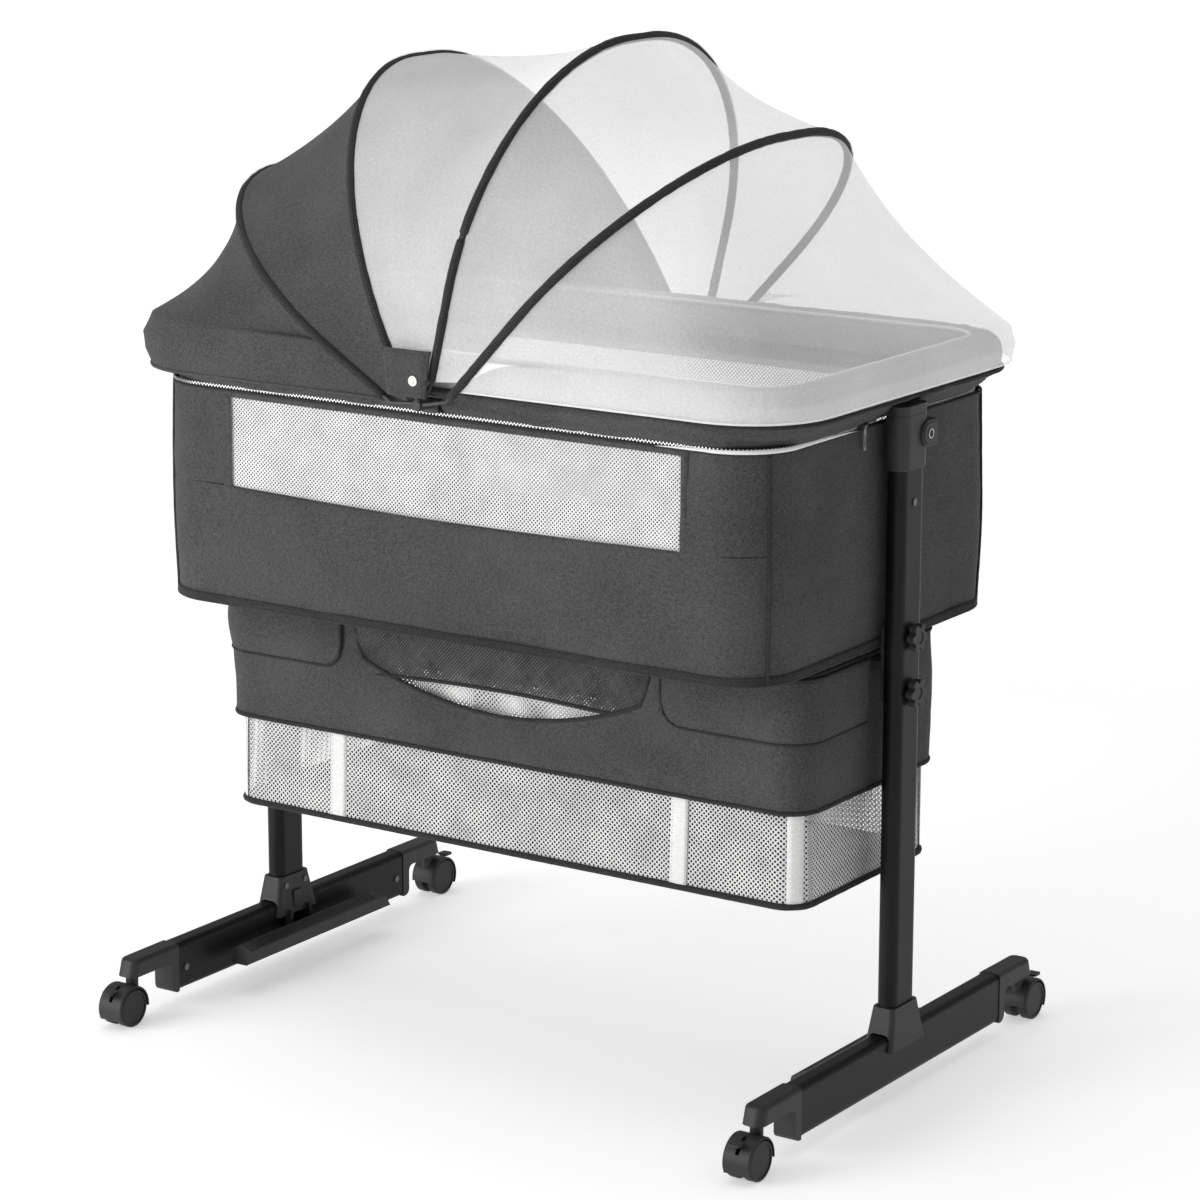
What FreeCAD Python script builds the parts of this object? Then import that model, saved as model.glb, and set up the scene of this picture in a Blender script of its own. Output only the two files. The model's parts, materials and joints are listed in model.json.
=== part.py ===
import FreeCAD, Part
import math
import os

# Bedside bassinet on a height-adjustable wheeled stand, in millimetres.
# +Z is up, X runs along the length, and -Y is the side that the user stands at.
# The origin is on the floor, midway between the two feet.

V = FreeCAD.Vector

# Stand
FOOT_X = 470.0          # middle of a foot and of its column, from the centre
BEAM_WIDTH = 28.0
BEAM_BOTTOM = 21.0
BEAM_TOP = 85.0
BEAM_HALF_LENGTH = 243.0
BEAM_WALL = 2.0
CAP_WIDTH = 30.0
CAP_END = 334.0         # tip of an end cap, from the middle of the foot
STEM_Y = 319.0          # caster stem, from the middle of the foot
STEM_RADIUS = 5.45
STEM_HOLE_RADIUS = 5.5
ARM_BOTTOM = 62.5       # underside of the end cap's arm over the caster

# Casters
WHEEL_RADIUS = 25.0
WHEEL_WIDTH = 13.5
WHEEL_GAP = 4.5         # from the caster's middle plane to a wheel
CASTER_TRAIL = 17.0
AXLE_RADIUS = 3.0
RUNNING_CLEARANCE = 0.05

# Columns
COLUMN_HALF_X = 13.0
COLUMN_HALF_Y = 28.0
COLUMN_WALL = 1.8
COLUMN_TOP = 832.0
COLLAR_BOTTOM = 779.0
COLLAR_TOP = 844.0
COLLAR_WALL = 3.0
INNER_CLEARANCE = 0.25  # between the inner column and the outer one
INNER_BOTTOM = 632.0
KNOB_HEIGHTS = (508.0, 576.0)
KNOB_SHAFT_RADIUS = 3.0

# Storage basket
BASKET_HALF_X = 425.0
BASKET_HALF_Y = 157.0
BASKET_CORNER = 34.0
BASKET_BOTTOM = 264.0
BASKET_TUBE_Z = 538.0
BASKET_TUBE_RADIUS = 6.0
BAND_BOTTOM = 384.0
BAND_TOP = 550.0
BAND_GAP = 8.6          # the band clears the tube that it hides
SLOT_HALF = 220.0
SLOT_BOTTOM = 442.0
POCKET_EDGE = 238.0
POCKET_BOTTOM = 469.0
STRAP_X = 257.0
CLIP_X = 199.0
PLATE_X = 450.5         # basket's end plate, in the gap between the body and the column

# Bassinet body
BODY_HALF_X = 446.0
BODY_HALF_Y = 280.0
BODY_CORNER = 74.0
BODY_BOTTOM = 560.0
BODY_TOP = 834.0
FABRIC = 2.0
RIM_TUBE_Z = 844.0
RIM_TUBE_RADIUS = 8.5
ROLL_HALF_X = 484.0
ROLL_HALF_Y = 288.0
ROLL_CORNER = 100.0
ROLL_BOTTOM = 856.0
ROLL_TOP = 910.0
ROLL_WIDTH = 56.0
WINDOW_LEFT = -320.0
WINDOW_RIGHT = 338.0
WINDOW_BOTTOM = 713.0
WINDOW_TOP = 824.0

# Canopy
PIVOT_X = -12.0
PIVOT_Z = 850.0
FAN_Z = 814.0           # the four hoop planes meet in a line below the pivot
HOOP_RADIUS = 2.5
HOOP_ANGLES = (148.5, 117.8, 76.7, 47.0)
HOOP_REACH = (495.0, 461.0, 460.0, 471.0)
HOOP_LEG_END = (160.0, 90.0, 180.0, 200.0)
HOOP_HALF_WIDTH = 292.5
HOOP_PITCH = 5.4        # the hoop ends are stacked along the pivot pin
HOOP_LEG_START = 60.0
HOOP_CROWN = 20.0       # half of the flat stretch at the crown
CANOPY_HEM = 884.0
END_HEM = 912.0         # the end panels stop just above the roll
CANOPY_FABRIC = 1.2


# ---------------------------------------------------------------- helpers

def box(x0, x1, y0, y1, z0, z1):
    return Part.makeBox(x1 - x0, y1 - y0, z1 - z0, V(x0, y0, z0))


def cylinder(start, direction, radius, length):
    return Part.makeCylinder(radius, length, start, direction)


def mirror_x(shape):
    return shape.mirror(V(0, 0, 0), V(1, 0, 0))


def mirror_y(shape):
    return shape.mirror(V(0, 0, 0), V(0, 1, 0))


def moved(shape, x=0.0, y=0.0, z=0.0):
    copy = shape.copy()
    copy.translate(V(x, y, z))
    return copy


def fused(shapes):
    return shapes[0].fuse(shapes[1:]).removeSplitter()


def arc_edge(centre, radius, start_deg, end_deg, z):
    """Quarter of a plan outline, counter-clockwise."""
    points = []
    for degrees in (start_deg, (start_deg + end_deg) / 2.0, end_deg):
        angle = math.radians(degrees)
        x = centre[0] + radius * math.cos(angle)
        y = centre[1] + radius * math.sin(angle)
        points.append(V(x, y, z))
    return Part.Arc(*points).toShape()


def plan_outline(half_x, half_y, radius, z):
    """Closed rounded rectangle in a horizontal plane."""
    in_x = half_x - radius
    in_y = half_y - radius
    edges = [
        Part.makeLine(V(half_x, -in_y, z), V(half_x, in_y, z)),
        arc_edge((in_x, in_y), radius, 0, 90, z),
        Part.makeLine(V(in_x, half_y, z), V(-in_x, half_y, z)),
        arc_edge((-in_x, in_y), radius, 90, 180, z),
        Part.makeLine(V(-half_x, in_y, z), V(-half_x, -in_y, z)),
        arc_edge((-in_x, -in_y), radius, 180, 270, z),
        Part.makeLine(V(-in_x, -half_y, z), V(in_x, -half_y, z)),
        arc_edge((in_x, -in_y), radius, 270, 360, z),
    ]
    return Part.Wire(edges)


def plate(half_x, half_y, radius, z0, z1):
    face = Part.Face(plan_outline(half_x, half_y, radius, z0))
    return face.extrude(V(0, 0, z1 - z0))


def wall(half_x, half_y, radius, thickness, z0, z1):
    """Upright wall that follows a rounded rectangle."""
    outer = plate(half_x, half_y, radius, z0, z1)
    inner = plate(half_x - thickness, half_y - thickness, radius - thickness, z0 - 1, z1 + 1)
    return outer.cut(inner)


def tube_loop(half_x, half_y, corner, z, radius, bore):
    """Bent tube frame whose centre line is a rounded rectangle."""
    path = plan_outline(half_x, half_y, corner, z)
    start = V(half_x, corner - half_y, z)
    outer = Part.Wire(Part.makeCircle(radius, start, V(0, 1, 0)))
    inner = Part.Wire(Part.makeCircle(bore, start, V(0, 1, 0)))
    solid = path.makePipeShell([outer], True, False)
    hollow = path.makePipeShell([inner], True, False)
    return solid.cut(hollow)


def filleted(shape, radius, picked):
    edges = [edge for edge in shape.Edges if picked(edge)]
    return shape.makeFillet(radius, edges)


def is_along(edge, axis):
    """True for a straight edge that runs along one frame axis."""
    if not isinstance(edge.Curve, Part.Line):
        return False
    return abs(edge.Curve.Direction.dot(axis)) > 0.999


def export(name, shape):
    shape.exportStep(os.path.join("parts", name + ".step"))


def export_pair(name, shape):
    """Writes the right-hand piece and its mirror image."""
    export(name + "_right", shape)
    export(name + "_left", mirror_x(shape))


# ---------------------------------------------------------------- feet

def foot_beam():
    """Hollow oblong tube along Y."""
    height = BEAM_TOP - BEAM_BOTTOM
    length = 2 * BEAM_HALF_LENGTH
    outer = box(FOOT_X - BEAM_WIDTH / 2, FOOT_X + BEAM_WIDTH / 2,
                -BEAM_HALF_LENGTH, BEAM_HALF_LENGTH, BEAM_BOTTOM, BEAM_TOP)
    outer = filleted(outer, 8.0, lambda e: is_along(e, V(0, 1, 0)))
    inner = box(FOOT_X - BEAM_WIDTH / 2 + BEAM_WALL, FOOT_X + BEAM_WIDTH / 2 - BEAM_WALL,
                -length, length, BEAM_BOTTOM + BEAM_WALL, BEAM_BOTTOM + height - BEAM_WALL)
    inner = filleted(inner, 6.0, lambda e: is_along(e, V(0, 1, 0)))
    return outer.cut(inner)


def end_cap():
    """Gooseneck cap: a plug and a round-bottomed lobe, then an arm over the caster."""
    x = FOOT_X - CAP_WIDTH / 2
    seam = -BEAM_HALF_LENGTH
    top = BEAM_TOP + 0.8
    bottom = BEAM_BOTTOM - 0.3
    p = {
        "seam_top": V(x, seam, top),
        "seam_bottom": V(x, seam, bottom),
        "lobe_bottom": V(x, seam - 4, bottom),
        "lobe_mid": V(x, seam - 10.7, bottom + 2.8),
        "lobe_front": V(x, seam - 13.5, bottom + 9.5),
        "arch_start": V(x, seam - 13.5, ARM_BOTTOM - 9),
        "arch_mid": V(x, seam - 16.1, ARM_BOTTOM - 2.6),
        "arch_end": V(x, seam - 22.5, ARM_BOTTOM),
        "tip_bottom": V(x, -CAP_END, ARM_BOTTOM),
        "tip_top": V(x, 7 - CAP_END, top - 0.5),
    }
    edges = [
        Part.makeLine(p["seam_top"], p["seam_bottom"]),
        Part.makeLine(p["seam_bottom"], p["lobe_bottom"]),
        Part.Arc(p["lobe_bottom"], p["lobe_mid"], p["lobe_front"]).toShape(),
        Part.makeLine(p["lobe_front"], p["arch_start"]),
        Part.Arc(p["arch_start"], p["arch_mid"], p["arch_end"]).toShape(),
        Part.makeLine(p["arch_end"], p["tip_bottom"]),
        Part.makeLine(p["tip_bottom"], p["tip_top"]),
        Part.makeLine(p["tip_top"], p["seam_top"]),
    ]
    body = Part.Face(Part.Wire(edges)).extrude(V(CAP_WIDTH, 0, 0))
    body = filleted(body, 11.0, lambda e: e.BoundBox.YMax < 9 - CAP_END and e.BoundBox.ZLength > 5
                    and e.BoundBox.XLength < 0.01)
    body = filleted(body, 6.0, lambda e: e.BoundBox.ZMin > top - 1.0 and e.BoundBox.YMin < seam - 2)
    plug_half = BEAM_WIDTH / 2 - BEAM_WALL - 0.3
    plug = box(FOOT_X - plug_half, FOOT_X + plug_half, seam - 1, seam + 26,
               BEAM_BOTTOM + BEAM_WALL + 0.3, BEAM_TOP - BEAM_WALL - 0.3)
    plug = filleted(plug, 6.0, lambda e: is_along(e, V(0, 1, 0)))
    socket = cylinder(V(FOOT_X, -STEM_Y, ARM_BOTTOM - 1), V(0, 0, 1), STEM_HOLE_RADIUS, 19)
    return fused([body, plug]).cut(socket)


PEDAL_PIN_X = 449.5
PEDAL_PIN_Z = 44.5
BRACKET_BOTTOM = 66.0
BRACKET_TOP = 117.5


def column_bracket():
    """Tapered saddle over the beam that holds the column, with ears for the pedal's pin."""
    low = moved(plan_outline(20.0, 42.0, 6.0, BRACKET_BOTTOM), FOOT_X)
    high = moved(plan_outline(15.2, 30.2, 6.0, BRACKET_TOP), FOOT_X)
    body = Part.makeLoft([low, high], True, True)
    slot = box(FOOT_X - 14.6, FOOT_X + 14.6, -60, 60, 30, BEAM_TOP + 1.4)
    slot = filleted(slot, 8.6, lambda e: is_along(e, V(0, 1, 0)) and e.BoundBox.ZMin > 50)
    column = moved(plate(COLUMN_HALF_X + 0.1, COLUMN_HALF_Y + 0.1, 12.0, BEAM_TOP, 140), FOOT_X)
    inner = FOOT_X - BEAM_WIDTH / 2 - 0.3
    ears = [box(inner - 11.4, inner, side - 2, side + 2, PEDAL_PIN_Z - 6, BRACKET_BOTTOM + 6)
            for side in (-19.5, 19.5)]
    slider = box(FOOT_X - 20.5, FOOT_X - 17, -8, 8, BRACKET_BOTTOM + 6, BRACKET_BOTTOM + 30)
    solid = fused([body, slider] + ears)
    pin_hole = cylinder(V(PEDAL_PIN_X, -30, PEDAL_PIN_Z), V(0, 1, 0), AXLE_RADIUS, 60)
    return solid.cut(slot).cut(column).cut(pin_hole)


def pedal_pin():
    pin = cylinder(V(PEDAL_PIN_X, -23, PEDAL_PIN_Z), V(0, 1, 0), AXLE_RADIUS, 46)
    head = cylinder(V(PEDAL_PIN_X, -24.5, PEDAL_PIN_Z), V(0, 1, 0), 4.5, 2.8)
    return fused([pin, head, mirror_y(head)])


PEDAL_HALF = 145.0      # half length along the tread


def pedal():
    """Tread bar inboard of the beam, on a barrel that turns on the pin."""
    low = PEDAL_PIN_Z - 6
    high = PEDAL_PIN_Z + 16
    section = [V(413, 0, low), V(413, 0, high - 5), V(433, 0, high), V(440, 0, high - 2.5),
               V(440, 0, low), V(413, 0, low)]
    bar = Part.Face(Part.makePolygon(section)).extrude(V(0, 2 * PEDAL_HALF + 22, 0))
    bar = moved(bar, y=-PEDAL_HALF - 11)
    for side in (-1, 1):
        tip = side * (PEDAL_HALF + 12)
        top = side * (PEDAL_HALF - 2)
        far = side * (PEDAL_HALF + 40)
        end = [V(400, tip, low - 1), V(400, top, high + 2), V(400, far, high + 2), V(400, far, low - 1),
               V(400, tip, low - 1)]
        bar = bar.cut(Part.Face(Part.makePolygon(end)).extrude(V(60, 0, 0)))
    for step in range(4):
        x = 417.5 + 4 * step
        z = high - 5 + (x - 413) / 4.0
        bar = bar.cut(box(x - 0.7, x + 0.7, -PEDAL_HALF + 16, PEDAL_HALF - 16, z - 0.9, z + 3))
    bar = filleted(bar, 1.5, lambda e: is_along(e, V(0, 1, 0)) and e.Length > 285)
    lug = box(439, PEDAL_PIN_X, -16.5, 16.5, PEDAL_PIN_Z - 5, PEDAL_PIN_Z + 5)
    barrel = cylinder(V(PEDAL_PIN_X, -16.5, PEDAL_PIN_Z), V(0, 1, 0), 5.5, 33)
    hole = cylinder(V(PEDAL_PIN_X, -17, PEDAL_PIN_Z), V(0, 1, 0), AXLE_RADIUS + RUNNING_CLEARANCE, 34)
    return fused([bar, lug, barrel]).cut(hole)


def foot_screws():
    """Bracket screws, end-cap screws and the column's stop rivet on one foot."""
    inner = FOOT_X - BEAM_WIDTH / 2
    heads = []
    for y in (-20.0, 20.0):
        shank = cylinder(V(FOOT_X - 17.6, y, 105.5), V(1, 0, 0), 4.2, 2.0)
        slot = box(FOOT_X - 18, FOOT_X - 17.0, y - 3, y + 3, 105, 106)
        heads.append(shank.cut(slot).cut(column_bracket()))
    for y in (-BEAM_HALF_LENGTH + 15, BEAM_HALF_LENGTH - 15):
        heads.append(cylinder(V(inner - 1.4, y, 50), V(1, 0, 0), 4.5, 1.4))
    heads.append(cylinder(V(FOOT_X + COLUMN_HALF_X, 0, 739), V(1, 0, 0), 4.5, 1.2))
    return heads


# ---------------------------------------------------------------- casters

HOOD_RADIUS = 28.8
HOOD_BORE = 26.2
LEVER_PIN_RADIUS = 2.0


def lever_axis():
    """Y and Z of the brake lever's pin on the front casters."""
    return -STEM_Y - CASTER_TRAIL - 12, WHEEL_RADIUS + 20


def caster_fork():
    """Swivel body at the front right corner: stem, washer, web and drum hood."""
    axle_y = -STEM_Y - CASTER_TRAIL
    centre = V(FOOT_X, axle_y, WHEEL_RADIUS)
    half = WHEEL_GAP + WHEEL_WIDTH + 0.6
    drum = cylinder(centre - V(half, 0, 0), V(1, 0, 0), HOOD_RADIUS, 2 * half)
    drum = filleted(drum, 2.0, lambda e: True)
    below = box(FOOT_X - 30, FOOT_X + 30, axle_y - 40, axle_y + 40, -10, 12)
    behind = box(FOOT_X - 30, FOOT_X + 30, axle_y + 6, axle_y + 40, -10, 22)
    drum = drum.cut(below).cut(behind)
    boss = cylinder(V(FOOT_X, -STEM_Y, 40), V(0, 0, 1), 8.0, ARM_BOTTOM - 3.2 - 40)
    solid = fused([drum, boss])
    for side in (1, -1):
        bore = cylinder(centre + V(side * (WHEEL_GAP - 0.5), 0, 0), V(side, 0, 0), HOOD_BORE, 30)
        solid = solid.cut(bore)
    stem = cylinder(V(FOOT_X, -STEM_Y, 50), V(0, 0, 1), STEM_RADIUS, 30)
    washer = cylinder(V(FOOT_X, -STEM_Y, ARM_BOTTOM - 3.4), V(0, 0, 1), 7.0, 3.0)
    pin_y, pin_z = lever_axis()
    slot = box(FOOT_X - 2.6, FOOT_X + 2.6, pin_y - 25, pin_y + 7, pin_z - 8, pin_z + 25)
    pin = cylinder(V(FOOT_X - 4, pin_y, pin_z), V(1, 0, 0), LEVER_PIN_RADIUS, 8)
    hole = cylinder(centre - V(30, 0, 0), V(1, 0, 0), AXLE_RADIUS + RUNNING_CLEARANCE, 60)
    return fused([solid.cut(slot).cut(hole), stem, washer, pin])


def caster_wheels():
    """Twin wheels on their axle."""
    axle_y = -STEM_Y - CASTER_TRAIL
    centre = V(FOOT_X, axle_y, WHEEL_RADIUS)
    pieces = [cylinder(centre - V(8, 0, 0), V(1, 0, 0), AXLE_RADIUS, 16)]
    for side in (1, -1):
        wheel = cylinder(centre + V(side * WHEEL_GAP, 0, 0), V(side, 0, 0), WHEEL_RADIUS, WHEEL_WIDTH)
        wheel = filleted(wheel, 2.5, lambda e: True)
        face = centre + V(side * (WHEEL_GAP + WHEEL_WIDTH), 0, 0)
        dish = cylinder(face, V(-side, 0, 0), 20.5, 0.8)
        pieces.append(wheel.cut(dish))
    return fused(pieces)


def brake_lever():
    """Toe tab that turns on the fork's pin and stands up behind the stem."""
    pin_y, pin_z = lever_axis()
    eye = cylinder(V(FOOT_X - 2.2, pin_y, pin_z), V(1, 0, 0), 5.0, 4.4)
    arm = box(FOOT_X - 2.2, FOOT_X + 2.2, pin_y - 12, pin_y, pin_z, pin_z + 5)
    tab = box(FOOT_X - 7.5, FOOT_X + 7.5, pin_y - 22, pin_y - 7.5, pin_z + 4, pin_z + 6.8)
    tab = filleted(tab, 3.0, lambda e: is_along(e, V(0, 0, 1)) and e.BoundBox.YMax < pin_y - 15)
    hole = cylinder(V(FOOT_X - 30, pin_y, pin_z), V(1, 0, 0), LEVER_PIN_RADIUS + RUNNING_CLEARANCE, 60)
    return fused([eye, arm, tab]).cut(hole)


# ---------------------------------------------------------------- columns

def outer_column():
    outer = plate(COLUMN_HALF_X, COLUMN_HALF_Y, 12.0, BEAM_TOP + 0.2, COLUMN_TOP)
    inner = plate(COLUMN_HALF_X - COLUMN_WALL, COLUMN_HALF_Y - COLUMN_WALL, 10.2, 0, COLUMN_TOP + 1)
    column = moved(outer.cut(inner), FOOT_X)
    for z in KNOB_HEIGHTS:
        column = column.cut(cylinder(V(FOOT_X - 40, 0, z), V(1, 0, 0), KNOB_SHAFT_RADIUS + RUNNING_CLEARANCE, 80))
    return column


BUTTON_Y = 22.0         # centre of the button's round side
BUTTON_Z = 818.0
BUTTON_HALF = 12.5
BUTTON_EDGE = 39.0      # the button's flat side
BUTTON_TRAVEL = 3.0
BOSS_FACE = 489.0
POCKET_DEPTH = 5.2


def button_outline(grow, x):
    """D-shaped face: round towards -Y, square towards +Y."""
    half = BUTTON_HALF + grow
    low = V(x, BUTTON_Y, BUTTON_Z - half)
    high = V(x, BUTTON_Y, BUTTON_Z + half)
    flat = BUTTON_EDGE + grow
    edges = [
        Part.Arc(high, V(x, BUTTON_Y - half, BUTTON_Z), low).toShape(),
        Part.makeLine(low, V(x, flat, BUTTON_Z - half)),
        Part.makeLine(V(x, flat, BUTTON_Z - half), V(x, flat, BUTTON_Z + half)),
        Part.makeLine(V(x, flat, BUTTON_Z + half), high),
    ]
    return Part.Face(Part.Wire(edges))


def height_collar():
    """Moulded sleeve on the column's top, with a raised boss that holds the button."""
    half_x = COLUMN_HALF_X + COLLAR_WALL
    half_y = COLUMN_HALF_Y + COLLAR_WALL
    sleeve = plate(half_x, half_y, 15.0, COLLAR_BOTTOM, COLLAR_TOP)
    sleeve = filleted(sleeve, 1.2, lambda e: e.BoundBox.ZMax < COLLAR_BOTTOM + 1)
    bore = plate(COLUMN_HALF_X + 0.1, COLUMN_HALF_Y + 0.1, 12.0, COLLAR_BOTTOM - 1, COLUMN_TOP + 0.2)
    lip_x = COLUMN_HALF_X - COLUMN_WALL
    lip_y = COLUMN_HALF_Y - COLUMN_WALL
    lip = plate(lip_x, lip_y, 10.2, COLLAR_TOP - 20, COLLAR_TOP + 1)
    sleeve = moved(sleeve.cut(bore).cut(lip), FOOT_X)
    boss = button_outline(3.4, FOOT_X + 6).extrude(V(BOSS_FACE - FOOT_X - 6, 0, 0))
    boss = filleted(boss, 1.0, lambda e: e.BoundBox.XMin > BOSS_FACE - 0.1)
    boss = boss.cut(moved(bore, FOOT_X)).cut(moved(lip, FOOT_X))
    pocket = button_outline(0.3, BOSS_FACE - POCKET_DEPTH).extrude(V(20, 0, 0))
    return fused([sleeve, boss]).cut(pocket)


def height_button():
    """Push button in the collar's boss, with a raised ring on its face."""
    start = BOSS_FACE - POCKET_DEPTH + BUTTON_TRAVEL + 0.1
    face = BOSS_FACE + 1.0
    body = button_outline(0.0, start).extrude(V(face - start, 0, 0))
    ring = cylinder(V(face, BUTTON_Y + 2, BUTTON_Z), V(1, 0, 0), 6.0, 0.5)
    ring = ring.cut(cylinder(V(face - 0.1, BUTTON_Y + 2, BUTTON_Z), V(1, 0, 0), 4.4, 1.0))
    return fused([body, ring])


def star_knob(z):
    """Six-lobed hand knob on the column's outer face, with its screw."""
    face = FOOT_X + COLUMN_HALF_X
    grip = cylinder(V(face + 2, 0, z), V(1, 0, 0), 12.5, 10)
    lobes = []
    for index in range(6):
        angle = math.radians(60.0 * index)
        y = 12.5 * math.cos(angle)
        lobes.append(cylinder(V(face + 2, y, z + 12.5 * math.sin(angle)), V(1, 0, 0), 5.0, 10))
    knob = filleted(fused([grip] + lobes), 1.2, lambda e: e.BoundBox.XLength < 0.01)
    hub = cylinder(V(face + 0.3, 0, z), V(1, 0, 0), 8.0, 4)
    screw = cylinder(V(PLATE_X - 1.5, 0, z), V(1, 0, 0), KNOB_SHAFT_RADIUS, face + 4 - PLATE_X)
    dish = cylinder(V(face + 11, 0, z), V(1, 0, 0), 7.5, 3)
    return fused([knob, hub, screw]).cut(dish)


def inner_column():
    half_x = COLUMN_HALF_X - COLUMN_WALL - INNER_CLEARANCE
    half_y = COLUMN_HALF_Y - COLUMN_WALL - INNER_CLEARANCE
    outer = plate(half_x, half_y, 9.9, INNER_BOTTOM, COLLAR_TOP + 0.4)
    inner = plate(half_x - 1.5, half_y - 1.5, 8.4, INNER_BOTTOM - 1, COLLAR_TOP + 1)
    return moved(outer.cut(inner), FOOT_X)


# ---------------------------------------------------------------- storage basket

def basket_frame():
    """Tube loop under the body, with an end plate for the knobs at each column."""
    loop = tube_loop(BASKET_HALF_X, BASKET_HALF_Y, BASKET_CORNER, BASKET_TUBE_Z,
                     BASKET_TUBE_RADIUS, BASKET_TUBE_RADIUS - 1.2)
    face = FOOT_X - COLUMN_HALF_X - 0.2
    end = box(PLATE_X, PLATE_X + 4.5, -16, 16, KNOB_HEIGHTS[0] - 14, KNOB_HEIGHTS[1] + 14)
    end = filleted(end, 8.0, lambda e: is_along(e, V(1, 0, 0)))
    arm = box(BASKET_HALF_X + BASKET_TUBE_RADIUS - 1, PLATE_X + 1, -12, 12, BASKET_TUBE_Z - 5, BASKET_TUBE_Z + 5)
    pieces = [end, arm]
    for z in KNOB_HEIGHTS:
        pieces.append(cylinder(V(PLATE_X + 4, 0, z), V(1, 0, 0), 8.0, face - PLATE_X - 4))
    side = fused(pieces)
    for z in KNOB_HEIGHTS:
        side = side.cut(cylinder(V(PLATE_X - 1, 0, z), V(1, 0, 0), KNOB_SHAFT_RADIUS + RUNNING_CLEARANCE, 60))
    return fused([loop, side, mirror_x(side)])


def storage_basket():
    """Mesh bin that hangs below the tube loop."""
    top = BASKET_TUBE_Z - BASKET_TUBE_RADIUS - 0.2
    sides = wall(BASKET_HALF_X, BASKET_HALF_Y, BASKET_CORNER, FABRIC, BASKET_BOTTOM, top)
    floor = plate(BASKET_HALF_X, BASKET_HALF_Y, BASKET_CORNER, BASKET_BOTTOM, BASKET_BOTTOM + FABRIC)
    return fused([sides, floor])


def basket_board():
    """Stiff sheet inside the basket."""
    inset = FABRIC + 3
    low = BASKET_BOTTOM + FABRIC + 0.2
    return plate(BASKET_HALF_X - inset, BASKET_HALF_Y - inset, BASKET_CORNER - inset, low, low + 3)


def basket_straps():
    """Four webbing straps on the long sides."""
    straps = []
    for x in (-STRAP_X, STRAP_X):
        for y in (-BASKET_HALF_Y - 1.3, BASKET_HALF_Y + 0.3):
            straps.append(box(x - 12, x + 12, y, y + 1, BASKET_BOTTOM, BASKET_TUBE_Z - 8))
    return straps


def organiser_band():
    """Fabric band round the basket's top, with the slot for the centre pocket."""
    grow = BAND_GAP + FABRIC
    half_x = BASKET_HALF_X + grow
    half_y = BASKET_HALF_Y + grow
    band = wall(half_x, half_y, BASKET_CORNER + grow, FABRIC, BAND_BOTTOM, BAND_TOP)
    shoulder = BAND_TOP - 58
    outline = [
        Part.makeLine(V(SLOT_HALF, -half_y - 5, shoulder), V(SLOT_HALF, -half_y - 5, BAND_TOP - 6)),
        Part.makeLine(V(SLOT_HALF, -half_y - 5, BAND_TOP - 6), V(-SLOT_HALF, -half_y - 5, BAND_TOP - 6)),
        Part.makeLine(V(-SLOT_HALF, -half_y - 5, BAND_TOP - 6), V(-SLOT_HALF, -half_y - 5, shoulder)),
        Part.Arc(V(-SLOT_HALF, -half_y - 5, shoulder), V(0, -half_y - 5, SLOT_BOTTOM),
                 V(SLOT_HALF, -half_y - 5, shoulder)).toShape(),
    ]
    slot = Part.Face(Part.Wire(outline)).extrude(V(0, 12, 0))
    slot = filleted(slot, 25.0, lambda e: is_along(e, V(0, 1, 0)) and abs(e.BoundBox.ZMin - shoulder) < 1)
    notch = box(-600, 600, -13, 13, BASKET_TUBE_Z - 6, BAND_TOP + 1)
    return band.cut(slot).cut(notch)


def organiser_pockets():
    """Patch pockets that wrap round the two front corners."""
    grow = BAND_GAP + FABRIC + 2.8
    shell = wall(BASKET_HALF_X + grow, BASKET_HALF_Y + grow, BASKET_CORNER + grow, 2.5,
                 POCKET_BOTTOM, BAND_TOP - 3)
    keep = box(POCKET_EDGE, 600, -300, -20, POCKET_BOTTOM, BAND_TOP)
    keep = filleted(keep, 30.0, lambda e: is_along(e, V(0, 1, 0)) and e.BoundBox.XMax < 300
                    and e.BoundBox.ZMax < POCKET_BOTTOM + 1)
    pocket = shell.common(keep)
    return [pocket, mirror_x(pocket)]


def organiser_mesh():
    """Dark mesh panel behind the slot; an open crescent is left below it."""
    y = -BASKET_HALF_Y - BASKET_TUBE_RADIUS - 2.4
    return box(-SLOT_HALF - 8, SLOT_HALF + 8, y, y + 0.8, SLOT_BOTTOM + 24, BAND_TOP - 2)


def basket_clips():
    """White hooks that hang the organiser on the tube."""
    clips = []
    outer = BASKET_TUBE_RADIUS + 2.4
    for x in (-CLIP_X, CLIP_X):
        ring = cylinder(V(x - 9, -BASKET_HALF_Y, BASKET_TUBE_Z), V(1, 0, 0), outer, 18)
        bore = cylinder(V(x - 10, -BASKET_HALF_Y, BASKET_TUBE_Z), V(1, 0, 0), BASKET_TUBE_RADIUS + 0.2, 20)
        mouth = box(x - 10, x + 10, -BASKET_HALF_Y - 20, -BASKET_HALF_Y + 20, BASKET_TUBE_Z - 20, BASKET_TUBE_Z)
        face = -BASKET_HALF_Y - BASKET_TUBE_RADIUS - 1.2
        front = box(x - 10, x + 10, face - 10, face, BASKET_TUBE_Z - 20, BASKET_TUBE_Z + 20)
        clips.append(ring.cut(bore).cut(mouth).cut(front))
    return clips


# ---------------------------------------------------------------- bassinet body

def saddle_notch(grow):
    """Space at each end where the saddle reaches the rim tube."""
    half = 31.0 + grow
    notch = box(400, 600, -half, half, BODY_TOP - 1, ROLL_BOTTOM + 1)
    return notch.fuse(mirror_x(notch))


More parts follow.
